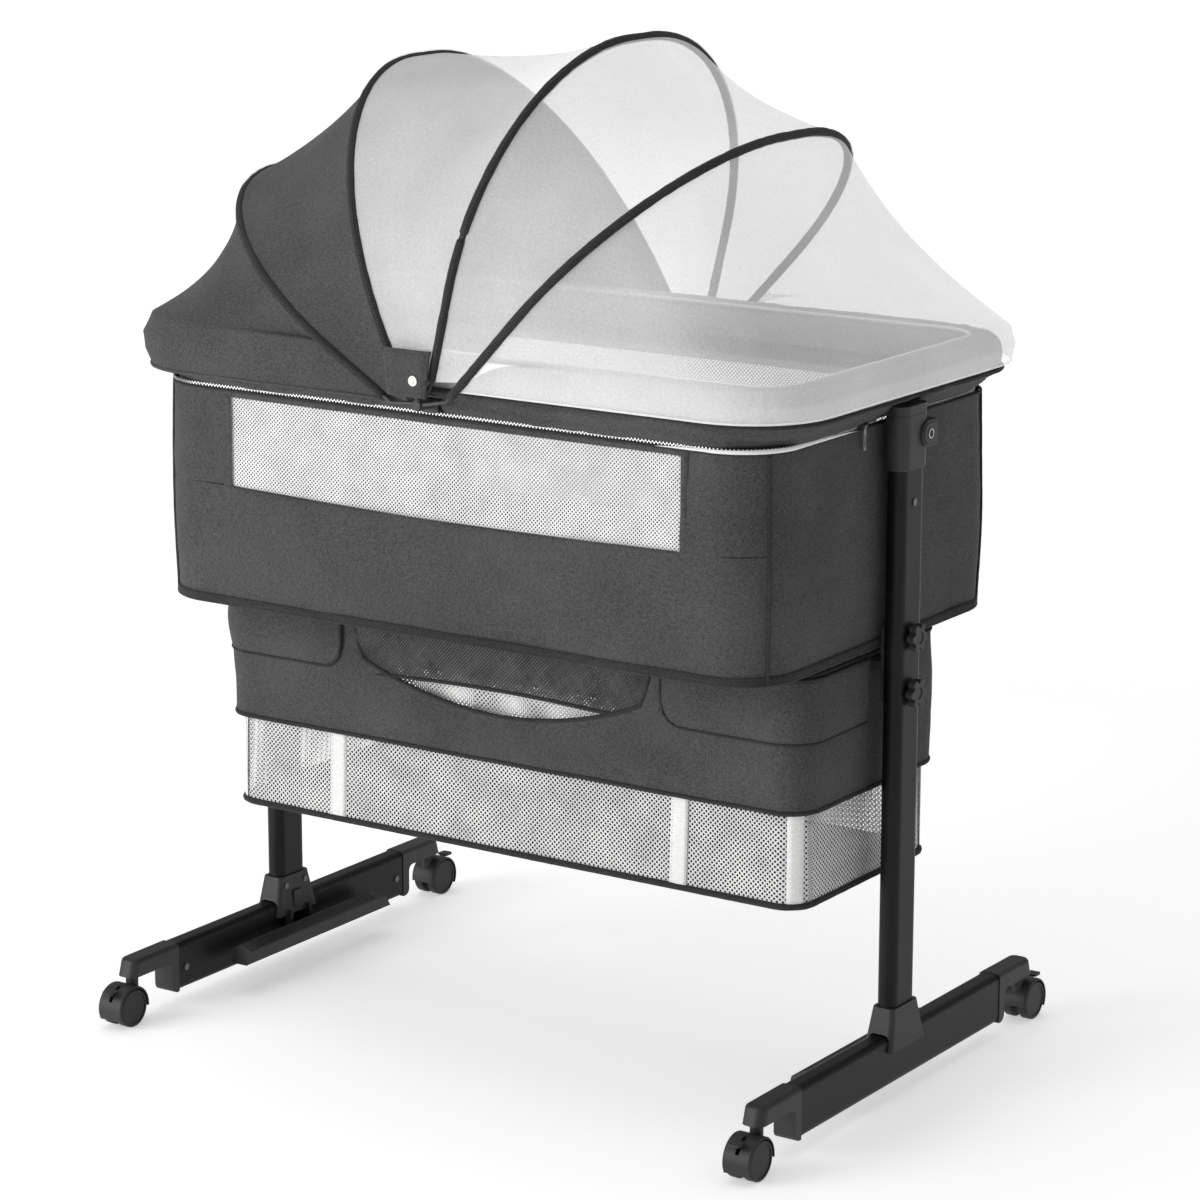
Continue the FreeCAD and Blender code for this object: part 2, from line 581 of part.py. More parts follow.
def rim_frame():
    half_x = BODY_HALF_X - 10.5
    half_y = BODY_HALF_Y - 10.5
    return tube_loop(half_x, half_y, BODY_CORNER - 10.5, RIM_TUBE_Z, RIM_TUBE_RADIUS, RIM_TUBE_RADIUS - 1.2)


def rim_saddle():
    """Casting that joins the inner column's top to the rim tube."""
    low = COLLAR_TOP + 0.4
    high = ROLL_BOTTOM - 0.4
    cap = moved(plate(COLUMN_HALF_X + COLLAR_WALL, COLUMN_HALF_Y + COLLAR_WALL, 15.0, low, high), FOOT_X)
    arm = box(BODY_HALF_X - 2, FOOT_X, -30, 30, low, high)
    return fused([cap, arm])


def side_windows():
    """Cutter for the mesh windows in both long walls."""
    cut = box(WINDOW_LEFT, WINDOW_RIGHT, -400, 400, WINDOW_BOTTOM, WINDOW_TOP)
    return filleted(cut, 6.0, lambda e: is_along(e, V(0, 1, 0)))


def shell_fabric():
    """Outer fabric wall and underside."""
    sides = wall(BODY_HALF_X, BODY_HALF_Y, BODY_CORNER, FABRIC, BODY_BOTTOM, BODY_TOP)
    floor = plate(BODY_HALF_X, BODY_HALF_Y, BODY_CORNER, BODY_BOTTOM, BODY_BOTTOM + FABRIC)
    return fused([sides.cut(side_windows()), floor])


def window_mesh(side):
    """Mesh panel that fills one window."""
    y = side * (BODY_HALF_Y - 1.5)
    panel = box(WINDOW_LEFT + 0.3, WINDOW_RIGHT - 0.3, y - 0.5, y + 0.5, WINDOW_BOTTOM + 0.3, WINDOW_TOP - 0.3)
    return filleted(panel, 5.7, lambda e: is_along(e, V(0, 1, 0)))


def inner_liner():
    """Light lining inside the walls, open at the windows."""
    grow = FABRIC + 0.6
    lining = wall(BODY_HALF_X - grow, BODY_HALF_Y - grow, BODY_CORNER - grow, 3.0, BODY_BOTTOM + FABRIC + 12, BODY_TOP - 1)
    return lining.cut(side_windows())


def base_board():
    inset = FABRIC + 1.0
    low = BODY_BOTTOM + FABRIC + 0.3
    return plate(BODY_HALF_X - inset, BODY_HALF_Y - inset, BODY_CORNER - inset, low, low + 10)


def mattress():
    inset = 12.0
    low = BODY_BOTTOM + FABRIC + 10.8
    pad = plate(BODY_HALF_X - inset, BODY_HALF_Y - inset, BODY_CORNER - inset, low, low + 45)
    return filleted(pad, 8.0, lambda e: e.BoundBox.ZLength < 0.01)


def padded_rim():
    """Padded roll that covers the rim tube and overhangs the columns."""
    roll = wall(ROLL_HALF_X, ROLL_HALF_Y, ROLL_CORNER, ROLL_WIDTH, ROLL_BOTTOM, ROLL_TOP)
    return filleted(roll, 24.0, lambda e: e.BoundBox.ZLength < 0.01)


def rim_band():
    """Dark fabric skirt below the roll, notched for the saddles and the pivot blocks."""
    grow = 2.0
    band = wall(BODY_HALF_X + grow, BODY_HALF_Y + grow, BODY_CORNER + grow, FABRIC, BODY_TOP + 4.2, ROLL_BOTTOM - 0.5)
    notch = box(PIVOT_X - 8.6, PIVOT_X + 8.6, -400, 400, 840, 870)
    return band.cut(saddle_notch(0.6)).cut(notch)


def zipper():
    """Zip tape between the shell and the skirt, round the user's side and part of each end."""
    tape = wall(BODY_HALF_X + 0.5, BODY_HALF_Y + 0.5, BODY_CORNER + 0.5, 1.6, BODY_TOP + 0.3, BODY_TOP + 3.8)
    return tape.cut(box(-600, 600, -60, 600, 0, 900))


SLIDER_Y = -62.0


def zipper_slider():
    """Slider at the zip's end, with the pin that the pull tab swings on."""
    x = BODY_HALF_X + FABRIC + 0.2
    body = box(x, x + 5, SLIDER_Y - 9, SLIDER_Y + 3, BODY_TOP - 1, BODY_TOP + 6)
    body = filleted(body, 1.2, lambda e: is_along(e, V(1, 0, 0)))
    pin = cylinder(V(x + 3.2, SLIDER_Y - 9, BODY_TOP + 2.5), V(0, 1, 0), 1.0, 12)
    gap = box(x + 1.2, x + 6, SLIDER_Y - 6, SLIDER_Y, BODY_TOP - 2, BODY_TOP + 7)
    return fused([body.cut(gap), pin])


def zipper_pull():
    """Flat pull tab that hangs from the slider's pin."""
    x = BODY_HALF_X + FABRIC + 3.4
    eye = cylinder(V(x, SLIDER_Y - 5.6, BODY_TOP + 2.5), V(0, 1, 0), 2.0, 5.2)
    tab = box(x - 0.8, x + 0.8, SLIDER_Y - 5.6, SLIDER_Y - 0.4, BODY_TOP - 26, BODY_TOP + 1.5)
    slot = box(x - 2, x + 2, SLIDER_Y - 4.2, SLIDER_Y - 1.8, BODY_TOP - 22, BODY_TOP - 8)
    hole = cylinder(V(x, SLIDER_Y - 9, BODY_TOP + 2.5), V(0, 1, 0), 1.05, 12)
    return fused([eye, tab]).cut(slot).cut(hole)


# ---------------------------------------------------------------- canopy

def pivot_block():
    """Block, stub and stepped pin that carry the four hoop ends on the -Y side."""
    outer = BODY_HALF_Y + 2.3
    tube_face = BODY_HALF_Y - 10.5 + RIM_TUBE_RADIUS
    block = box(PIVOT_X - 13, PIVOT_X + 13, -outer - 6, -outer, PIVOT_Z - 12, PIVOT_Z + 5.5)
    block = filleted(block, 4.0, lambda e: is_along(e, V(0, 1, 0)))
    stub = box(PIVOT_X - 8, PIVOT_X + 8, -outer - 1, -tube_face, PIVOT_Z - 8, PIVOT_Z)
    first = HOOP_HALF_WIDTH - HOOP_RADIUS
    last = HOOP_HALF_WIDTH + 3 * HOOP_PITCH + HOOP_RADIUS
    pin = cylinder(V(PIVOT_X, -outer, PIVOT_Z), V(0, -1, 0), 3.0, last + 1.5 - outer)
    shoulder = cylinder(V(PIVOT_X, -outer, PIVOT_Z), V(0, -1, 0), 6.0, first - 0.4 - outer)
    head = cylinder(V(PIVOT_X, -last - 0.4, PIVOT_Z), V(0, -1, 0), 6.0, 1.8)
    return fused([block, stub, pin, shoulder, head])


def hoop_direction(index):
    angle = math.radians(HOOP_ANGLES[index])
    return V(math.cos(angle), 0, math.sin(angle))


def hoop_point(index, y, reach, shift):
    """Point in a hoop's plane, moved along the plane's normal by shift."""
    along = hoop_direction(index)
    normal = V(along.z, 0, -along.x)
    return V(PIVOT_X, y, FAN_Z) + along * reach + normal * shift


def hoop_profile(index, start, inset, shift):
    """Edges of a hoop's centre line from its -Y leg, over the crown, to its +Y leg."""
    half = HOOP_HALF_WIDTH + index * HOOP_PITCH - inset
    top = HOOP_REACH[index] - inset
    width = half - HOOP_CROWN
    leg_end = HOOP_LEG_END[index]
    rise = top - leg_end
    along = hoop_direction(index)
    edges = [Part.makeLine(hoop_point(index, -half, start, shift),
                           hoop_point(index, -half, leg_end, shift))]
    edges.append(corner_curve(index, -1, width, rise, along, shift))
    edges.append(Part.makeLine(hoop_point(index, -HOOP_CROWN, top, shift),
                               hoop_point(index, HOOP_CROWN, top, shift)))
    edges.append(corner_curve(index, 1, width, rise, along, shift))
    edges.append(Part.makeLine(hoop_point(index, half, leg_end, shift),
                               hoop_point(index, half, start, shift)))
    return edges


def corner_curve(index, side, width, rise, along, shift):
    """Quarter ellipse between a leg and the crown."""
    centre = hoop_point(index, side * HOOP_CROWN, HOOP_LEG_END[index], shift)
    across = V(0, side, 0)
    major, minor = (across, along) if width >= rise else (along, across)
    ellipse = Part.Ellipse(centre + major * max(width, rise), centre + minor * min(width, rise), centre)
    leg = ellipse.parameter(centre + across * width)
    crown = ellipse.parameter(centre + along * rise)
    if abs(leg - crown) > math.pi:
        leg, crown = (leg + 2 * math.pi, crown) if leg < crown else (leg, crown + 2 * math.pi)
    return Part.Edge(ellipse, min(leg, crown), max(leg, crown))


def hoop(index):
    """Bent wire with a dog-leg and an eye at each end."""
    half = HOOP_HALF_WIDTH + index * HOOP_PITCH
    path = Part.Wire(Part.__sortEdges__(hoop_profile(index, HOOP_LEG_START, 0, 0)))
    start = hoop_point(index, -half, HOOP_LEG_START, 0)
    ring = Part.Wire(Part.makeCircle(HOOP_RADIUS, start, hoop_direction(index)))
    pieces = [path.makePipeShell([ring], True, False)]
    for side in (-1, 1):
        eye_centre = V(PIVOT_X, side * half, PIVOT_Z)
        knee = hoop_point(index, side * half, HOOP_LEG_START, 0)
        arm = knee - eye_centre
        pieces.append(Part.makeCylinder(HOOP_RADIUS, arm.Length, eye_centre, arm))
        pieces.append(Part.makeSphere(HOOP_RADIUS, knee))
        pieces.append(cylinder(eye_centre - V(0, HOOP_RADIUS, 0), V(0, 1, 0), 7.0, 2 * HOOP_RADIUS))
    solid = pieces[0].fuse(pieces[1:])
    bore = cylinder(V(PIVOT_X, -400, PIVOT_Z), V(0, 1, 0), 3.0 + RUNNING_CLEARANCE, 800)
    return solid.cut(bore)


def hem_reach(index, hem):
    """Distance along a hoop's plane at which it passes the height of a hem."""
    return (hem - FAN_Z) / math.sin(math.radians(HOOP_ANGLES[index]))


def hoop_section(index, shift, hem=CANOPY_HEM):
    """Thin closed outline of the fabric where it meets one hoop."""
    reach = hem_reach(index, hem)
    outer = hoop_profile(index, reach, 0, shift)
    inner = hoop_profile(index, reach, CANOPY_FABRIC, shift)
    return band_wire(outer, inner)


def band_wire(outer, inner):
    outer_path = Part.Wire(Part.__sortEdges__(outer))
    inner_path = Part.Wire(Part.__sortEdges__(inner))
    outer_ends = path_ends(outer_path)
    inner_ends = path_ends(inner_path)
    closing = [Part.makeLine(outer_ends[0], inner_ends[0]), Part.makeLine(outer_ends[1], inner_ends[1])]
    return Part.Wire(Part.__sortEdges__(outer_path.Edges + inner_path.Edges + closing))


def path_ends(path):
    """Ends of an open path, the -Y one first."""
    ends = [path.OrderedVertexes[0].Point, path.OrderedVertexes[-1].Point]
    return sorted(ends, key=lambda point: point.y)


def rim_section(side, start_x, half_x, half_y, corner, z):
    """Thin closed outline of the canopy's hem round one end of the rim."""
    outlines = []
    for inset in (0, CANOPY_FABRIC):
        in_x = half_x - inset - corner
        in_y = half_y - inset - corner
        bend = corner * math.sqrt(0.5)
        edges = [
            Part.makeLine(V(side * start_x, -in_y - corner, z), V(side * in_x, -in_y - corner, z)),
            Part.Arc(V(side * in_x, -in_y - corner, z), V(side * (in_x + bend), -in_y - bend, z),
                     V(side * (in_x + corner), -in_y, z)).toShape(),
            Part.makeLine(V(side * (in_x + corner), -in_y, z), V(side * (in_x + corner), in_y, z)),
            Part.Arc(V(side * (in_x + corner), in_y, z), V(side * (in_x + bend), in_y + bend, z),
                     V(side * in_x, in_y + corner, z)).toShape(),
            Part.makeLine(V(side * in_x, in_y + corner, z), V(side * start_x, in_y + corner, z)),
        ]
        outlines.append(edges)
    return band_wire(outlines[0], outlines[1])


HOOP_GAP = 3.4          # the fabric starts clear of the wire


def canopy_between(index):
    """Fabric between two neighbouring hoops."""
    first = hoop_section(index, HOOP_GAP)
    second = hoop_section(index + 1, -HOOP_GAP)
    return Part.makeLoft([first, second], True, True)


def hood_end():
    """Fabric from the first hoop down to the roll at the -X end."""
    first = hoop_section(0, -HOOP_GAP, END_HEM)
    start_x = -hoop_point(0, 0, hem_reach(0, END_HEM), -HOOP_GAP - 14).x
    hem = rim_section(-1, start_x, ROLL_HALF_X - 2, ROLL_HALF_Y - 8, ROLL_CORNER - 8, END_HEM)
    return Part.makeLoft([first, hem], True, True)


def net_end():
    """Net from the last hoop down to the top of the roll at the +X end."""
    first = hoop_section(3, HOOP_GAP, END_HEM)
    start_x = hoop_point(3, 0, hem_reach(3, END_HEM), HOOP_GAP + 14).x
    hem = rim_section(1, start_x, ROLL_HALF_X - 12, ROLL_HALF_Y - 18, ROLL_CORNER - 18, END_HEM)
    return Part.makeLoft([first, hem], True, True)


def snap_tab():
    """Reinforced fabric tab in front of the pivot."""
    y = -HOOP_HALF_WIDTH - 3 * HOOP_PITCH - HOOP_RADIUS - 3.0
    outline = [V(-54, y, 860), V(2, y, 860), V(8, y, 916), V(-60, y, 916), V(-54, y, 860)]
    return Part.Face(Part.makePolygon(outline)).extrude(V(0, -1.4, 0))


def snap_button():
    y = -HOOP_HALF_WIDTH - 3 * HOOP_PITCH - HOOP_RADIUS - 4.6
    cap = cylinder(V(-20, y, 878), V(0, -1, 0), 6.0, 2.2)
    return filleted(cap, 1.0, lambda e: e.BoundBox.YMax < y - 2)


# ---------------------------------------------------------------- export

def both_ends(shape):
    return [shape, mirror_x(shape)]


def export_group(name, shapes):
    export(name, Part.makeCompound(shapes))


def export_stand():
    export_pair("foot_beam", foot_beam())
    cap = end_cap()
    export_group("end_caps", both_ends(cap) + both_ends(mirror_y(cap)))
    export_group("column_brackets", both_ends(column_bracket()))
    export_group("pedal_pins", both_ends(pedal_pin()))
    export_pair("foot_pedal", pedal())
    export_pair("outer_column", outer_column())
    export_group("height_collars", both_ends(height_collar()))
    export_pair("height_button", height_button())
    screws = foot_screws()
    export_group("stand_screws", screws + [mirror_x(screw) for screw in screws])
    for name, z in zip(("lower", "upper"), KNOB_HEIGHTS):
        export_pair("star_knob_" + name, star_knob(z))


def export_casters():
    makers = (("caster_fork", caster_fork), ("caster_wheels", caster_wheels), ("brake_lever", brake_lever))
    for name, maker in makers:
        front = maker()
        export_pair(name + "_front", front)
        export_pair(name + "_back", mirror_y(front))


def export_storage():
    export("basket_frame", basket_frame())
    export("storage_basket", storage_basket())
    export("basket_board", basket_board())
    export_group("basket_straps", basket_straps())
    export("organiser_band", organiser_band())
    export_group("organiser_pockets", organiser_pockets())
    export("organiser_mesh", organiser_mesh())
    export_group("basket_clips", basket_clips())


def export_bassinet():
    export_group("inner_columns", both_ends(inner_column()))
    export_group("rim_saddles", both_ends(rim_saddle()))
    export("rim_frame", rim_frame())
    export("shell_fabric", shell_fabric())
    export_group("window_meshes", [window_mesh(-1), window_mesh(1)])
    export("inner_liner", inner_liner())
    export("base_board", base_board())
    export("mattress", mattress())
    export("padded_rim", padded_rim())
    export("rim_band", rim_band())
    export_group("zipper", [zipper(), zipper_slider()])
    export("zipper_pull", zipper_pull())


def export_canopy():
    block = pivot_block()
    export_group("canopy_pivots", [block, mirror_y(block)])
    for index in range(4):
        export("hoop_%d" % (index + 1), hoop(index))
    export("hood_end_panel", hood_end())
    export("hood_top_panel", canopy_between(0))
    export("net_top_panel", canopy_between(1))
    export("net_side_panel", canopy_between(2))
    export("net_end_panel", net_end())
    export_group("snap_tab", [snap_tab(), snap_button()])


def main():
    os.makedirs("parts", exist_ok=True)
    export_stand()
    export_casters()
    export_storage()
    export_bassinet()
    export_canopy()


main()
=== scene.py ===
"""Looks of the bassinet on its wheeled stand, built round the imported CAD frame."""
import json
import math

import bmesh
import bpy
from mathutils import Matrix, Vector, noise


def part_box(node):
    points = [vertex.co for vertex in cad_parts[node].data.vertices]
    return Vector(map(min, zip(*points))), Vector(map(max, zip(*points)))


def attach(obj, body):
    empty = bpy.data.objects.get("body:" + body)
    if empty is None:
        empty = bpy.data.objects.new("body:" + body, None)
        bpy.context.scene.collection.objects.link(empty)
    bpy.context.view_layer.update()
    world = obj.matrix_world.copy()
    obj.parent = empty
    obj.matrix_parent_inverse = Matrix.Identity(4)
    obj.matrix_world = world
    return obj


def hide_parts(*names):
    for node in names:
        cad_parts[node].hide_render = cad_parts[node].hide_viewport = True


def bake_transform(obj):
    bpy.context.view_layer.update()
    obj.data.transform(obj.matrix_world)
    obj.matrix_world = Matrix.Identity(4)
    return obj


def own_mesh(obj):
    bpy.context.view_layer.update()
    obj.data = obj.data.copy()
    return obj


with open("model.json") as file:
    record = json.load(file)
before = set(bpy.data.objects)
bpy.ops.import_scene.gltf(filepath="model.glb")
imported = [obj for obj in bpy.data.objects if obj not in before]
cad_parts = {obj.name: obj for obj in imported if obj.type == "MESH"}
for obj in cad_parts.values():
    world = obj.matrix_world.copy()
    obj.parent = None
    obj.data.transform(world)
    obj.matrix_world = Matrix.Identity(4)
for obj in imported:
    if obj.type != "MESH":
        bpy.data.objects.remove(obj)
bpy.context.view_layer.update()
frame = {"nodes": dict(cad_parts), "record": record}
nodes = frame["nodes"]
STITCH = 0.0042


# ---------------------------------------------------------------- materials

class Look:
    """A small node-tree builder around one Principled surface."""

    def __init__(self, name, roughness, **sockets):
        self.material = bpy.data.materials.new(name)
        self.material.use_nodes = True
        self.tree = self.material.node_tree
        self.shader = self.tree.nodes["Principled BSDF"]
        self.shader.inputs["Roughness"].default_value = roughness
        for key, value in sockets.items():
            self.shader.inputs[key.replace("_", " ")].default_value = value
        self.coordinates = self.tree.nodes.new("ShaderNodeTexCoord")

    def node(self, kind, **settings):
        made = self.tree.nodes.new(kind)
        for key, value in settings.items():
            setattr(made, key, value)
        return made

    def link(self, start, end):
        self.tree.links.new(start, end)

    def mapped(self, space, scale):
        mapping = self.node("ShaderNodeMapping")
        mapping.inputs["Scale"].default_value = scale
        self.link(self.coordinates.outputs[space], mapping.inputs["Vector"])
        return mapping.outputs["Vector"]

    def grain(self, space, scale, detail=2.0):
        texture = self.node("ShaderNodeTexNoise")
        texture.inputs["Scale"].default_value = 1.0
        texture.inputs["Detail"].default_value = detail
        self.link(self.mapped(space, scale), texture.inputs["Vector"])
        return texture.outputs["Fac"]

    def math(self, operation, first, second):
        made = self.node("ShaderNodeMath", operation=operation)
        for socket, value in zip(made.inputs, (first, second)):
            if isinstance(value, (int, float)):
                socket.default_value = value
            else:
                self.link(value, socket)
        return made.outputs[0]

    def colour(self, factor, dark, light, low=0.3, high=0.7):
        ramp = self.node("ShaderNodeValToRGB")
        ramp.color_ramp.elements[0].position = low
        ramp.color_ramp.elements[1].position = high
        ramp.color_ramp.elements[0].color = (*dark, 1.0)
        ramp.color_ramp.elements[1].color = (*light, 1.0)
        self.link(factor, ramp.inputs["Fac"])
        self.link(ramp.outputs["Color"], self.shader.inputs["Base Color"])

    def rough(self, factor, low, high):
        spread = self.node("ShaderNodeMapRange")
        spread.inputs["To Min"].default_value = low
        spread.inputs["To Max"].default_value = high
        self.link(factor, spread.inputs["Value"])
        self.link(spread.outputs["Result"], self.shader.inputs["Roughness"])

    def bump(self, height, strength, distance):
        made = self.node("ShaderNodeBump")
        made.inputs["Strength"].default_value = strength
        made.inputs["Distance"].default_value = distance
        self.link(height, made.inputs["Height"])
        self.link(made.outputs["Normal"], self.shader.inputs["Normal"])

    def alpha(self, value):
        self.link(value, self.shader.inputs["Alpha"])


def heather(name, dark, light, space="Object", sheen=0.15):
    """Woven melange cloth: crossed short fibres over slow shade changes."""
    look = Look(name, 0.92, Sheen_Weight=sheen, Sheen_Roughness=0.5, Specular_IOR_Level=0.15)
    weft = look.grain(space, (260, 260, 1500), 3)
    warp = look.grain(space, (1500, 1500, 260), 3)
    slow = look.grain(space, (9, 9, 9), 2)
    fibres = look.math("ADD", look.math("MULTIPLY", weft, 0.5), look.math("MULTIPLY", warp, 0.5))
    shade = look.math("ADD", look.math("MULTIPLY", fibres, 0.85), look.math("MULTIPLY", slow, 0.15))
    look.colour(shade, dark, light, 0.38, 0.62)
    look.bump(fibres, 0.55, 0.0006)
    look.rough(slow, 0.86, 0.97)
    return look.material


def holed(name, dark, light, pitch, radius):
    """Knitted mesh: a regular grid of open holes, on UVs laid out in metres."""
    look = Look(name, 0.8, Specular_IOR_Level=0.2)
    cells = look.node("ShaderNodeTexVoronoi", voronoi_dimensions="2D")
    cells.inputs["Scale"].default_value = 1.0
    cells.inputs["Randomness"].default_value = 0.0
    mapping = look.node("ShaderNodeMapping")
    mapping.inputs["Scale"].default_value = (1 / pitch, 1 / pitch, 1)
    mapping.inputs["Rotation"].default_value = (0, 0, math.radians(45))
    look.link(look.coordinates.outputs["UV"], mapping.inputs["Vector"])
    look.link(mapping.outputs["Vector"], cells.inputs["Vector"])
    solid = look.math("GREATER_THAN", cells.outputs["Distance"], radius)
    look.alpha(solid)
    look.colour(look.grain("Object", (30, 30, 30)), dark, light)
    look.bump(cells.outputs["Distance"], 0.5, 0.0006)
    return look.material


def netting(name, dark, light, cover):
    """Very fine net, finer than the eye resolves: even cover with a thread grain, and a faint white painted
    glow.
    """
    # The white emission is painted light: a glow standing in for the light that passes through the thin net
    # from behind.
    look = Look(name, 0.85, Specular_IOR_Level=0.15, Emission_Color=(1, 1, 1, 1), Emission_Strength=0.16)
    threads = look.grain("Object", (420, 420, 420), 2)
    slow = look.grain("Object", (6, 6, 6), 2)
    spread = look.math("MULTIPLY", look.math("SUBTRACT", threads, 0.5), 0.22)
    drift = look.math("MULTIPLY", look.math("SUBTRACT", slow, 0.5), 0.12)
    look.alpha(look.math("ADD", look.math("ADD", spread, drift), cover))
    look.colour(slow, dark, light)
    look.bump(threads, 0.3, 0.0004)
    return look.material


def moulded(name, dark, light, roughness, depth=0.35, gloss=0.35):
    """Injection-moulded plastic or painted tube: fine spark texture and slight wear."""
    look = Look(name, roughness, Specular_IOR_Level=gloss)
    spark = look.grain("Object", (900, 900, 900), 3)
    slow = look.grain("Object", (14, 14, 14), 4)
    look.colour(slow, dark, light, 0.35, 0.7)
    look.rough(slow, roughness - 0.06, roughness + 0.08)
    look.bump(spark, depth, 0.0002)
    return look.material


def metal(name, colour, roughness, stretch):
    look = Look(name, roughness, Metallic=1.0)
    brushed = look.grain("Object", stretch, 3)
    dark = tuple(0.8 * c for c in colour)
    look.colour(brushed, dark, colour)
    look.rough(brushed, roughness - 0.06, roughness + 0.12)
    look.bump(brushed, 0.15, 0.0002)
    return look.material


CHARCOAL = heather("charcoal_weave", (0.030, 0.029, 0.030), (0.100, 0.097, 0.0985), sheen=0.05)
CHARCOAL_DEEP = heather("charcoal_binding", (0.018, 0.018, 0.018), (0.050, 0.049, 0.050), sheen=0.05)
LINING = heather("grey_lining", (0.25, 0.25, 0.25), (0.38, 0.38, 0.378), sheen=0.1)
PALE = heather("pale_lining", (0.55, 0.55, 0.55), (0.74, 0.74, 0.74))
WEBBING = heather("white_webbing", (0.7, 0.7, 0.69), (0.9, 0.9, 0.89))
THREAD = heather("thread", (0.03, 0.03, 0.03), (0.09, 0.09, 0.09))
WINDOW = holed("window_knit", (0.66, 0.66, 0.66), (0.80, 0.80, 0.80), 0.0038, 0.30)
BASKET_KNIT = holed("basket_knit", (0.56, 0.56, 0.56), (0.72, 0.72, 0.71), 0.0046, 0.32)
POCKET_KNIT = holed("pocket_knit", (0.03, 0.03, 0.03), (0.07, 0.07, 0.07), 0.0034, 0.24)
# The net material glows faintly white: painted light standing in for light through the net.
NET_PAINTED_GLOW = netting("white_net_painted_glow", (0.84, 0.84, 0.84), (0.94, 0.94, 0.94), 0.48)
PAINT = moulded("satin_black_paint", (0.0025, 0.0025, 0.0026), (0.006, 0.006, 0.006), 0.40, 0.15, 0.20)
PLASTIC = moulded("dark_moulding", (0.020, 0.020, 0.021), (0.036, 0.036, 0.037), 0.5, 0.3, 0.35)
RUBBER = moulded("caster_tread", (0.006, 0.006, 0.006), (0.014, 0.014, 0.015), 0.48)
TUBE = moulded("frame_paint", (0.03, 0.03, 0.032), (0.05, 0.05, 0.052), 0.4)
BOARD = moulded("grey_board", (0.2, 0.2, 0.2), (0.3, 0.3, 0.3), 0.7)
CLIP = moulded("white_clip", (0.66, 0.66, 0.66), (0.82, 0.82, 0.82), 0.35)
STEEL = metal("bright_steel", (0.72, 0.71, 0.69), 0.28, (40, 40, 900))
DARK_STEEL = metal("dark_screws", (0.16, 0.16, 0.16), 0.4, (300, 300, 300))
SNAP = metal("snap_metal", (0.62, 0.60, 0.57), 0.3, (300, 300, 300))

CAD_LOOKS = {
    "stand_paint": PAINT, "moulded_plastic": PLASTIC, "button_plastic": PLASTIC, "caster_rubber": RUBBER,
    "brake_plastic": PLASTIC, "bright_steel": STEEL, "frame_tube": TUBE, "charcoal_fabric": CHARCOAL,
    "grey_lining": LINING, "board": BOARD, "webbing": WEBBING, "clip_plastic": CLIP,
    "mesh_fabric": WINDOW, "net_fabric": NET_PAINTED_GLOW, "zip_tape": CHARCOAL_DEEP,
}


def dress_frame():
    """Gives every CAD node that stays the finish of its slot."""
    slots = {row["node"]: row["material_slot"] for row in frame["record"]["subparts"]}
    for name, thing in nodes.items():
        thing.data.materials.clear()
        thing.data.materials.append(DARK_STEEL if name == "stand_screws" else CAD_LOOKS[slots[name]])


# ---------------------------------------------------------------- mesh helpers

def new_mesh(name, verts, faces, material, smooth=True, uvs=None):
    data = bpy.data.meshes.new(name)
    data.from_pydata([tuple(v) for v in verts], [], faces)
    thing = bpy.data.objects.new(name, data)
    bpy.context.scene.collection.objects.link(thing)
    data.materials.append(material)
    data.polygons.foreach_set("use_smooth", [smooth] * len(data.polygons))
    if uvs:
        layer = data.uv_layers.new(name="UVMap")
        for loop in data.loops:
            layer.data[loop.index].uv = uvs[loop.vertex_index]
    data.update()
    return thing


def grid(name, rows, material, closed=False, skip=None, thick=0.0):
    """Sheet through rows of points, with UVs in metres; skip(row, column) leaves holes."""
    verts, uvs, faces = [], [], []
    count = len(rows[0])
    run = [0.0]
    middle = rows[len(rows) // 2]
    for i in range(1, count):
        run.append(run[-1] + (Vector(middle[i]) - Vector(middle[i - 1])).length)
    climb = 0.0
    for r, row in enumerate(rows):
        if r:
            climb += (Vector(row[count // 2]) - Vector(rows[r - 1][count // 2])).length
        for c, point in enumerate(row):
            verts.append(point)
            uvs.append((run[c], climb))
    for r in range(len(rows) - 1):
        for c in range(count if closed else count - 1):
            if skip and skip(r, c):
                continue
            after = (c + 1) % count
            faces.append((r * count + c, r * count + after, (r + 1) * count + after, (r + 1) * count + c))
    thing = new_mesh(name, verts, faces, material, uvs=uvs)
    if thick:
        solid = thing.modifiers.new("thickness", "SOLIDIFY")
        solid.thickness = thick
        solid.offset = 0.0
    return thing


def tube(name, points, radius, material, closed=False, flat=1.0, sides=10, ripple=0.0):
    """Round or flattened tube along points."""
    count = len(points)
    rings = []
    for i, point in enumerate(points):
        before = points[(i - 1) % count] if closed or i else point
        after = points[(i + 1) % count] if closed or i < count - 1 else point
        along = (Vector(after) - Vector(before)).normalized()
        up = Vector((0, 0, 1)) if abs(along.z) < 0.95 else Vector((0, 1, 0))
        side = along.cross(up).normalized()
        lift = side.cross(along).normalized()
        wave = 1.0 + ripple * noise.noise(Vector(point) * 90)
        ring = []
        for k in range(sides):
            angle = 2 * math.pi * k / sides
            spoke = side * math.cos(angle) * flat + lift * math.sin(angle)
            ring.append(Vector(point) + spoke * radius * wave)
        rings.append(ring)
    verts = [v for ring in rings for v in ring]
    faces = []
    for i in range(count if closed else count - 1):
        j = (i + 1) % count
        for k in range(sides):
            m = (k + 1) % sides
            faces.append((i * sides + k, i * sides + m, j * sides + m, j * sides + k))
    if not closed:
        faces.append(tuple(range(sides))[::-1])
        faces.append(tuple((count - 1) * sides + k for k in range(sides)))
    return new_mesh(name, verts, faces, material)


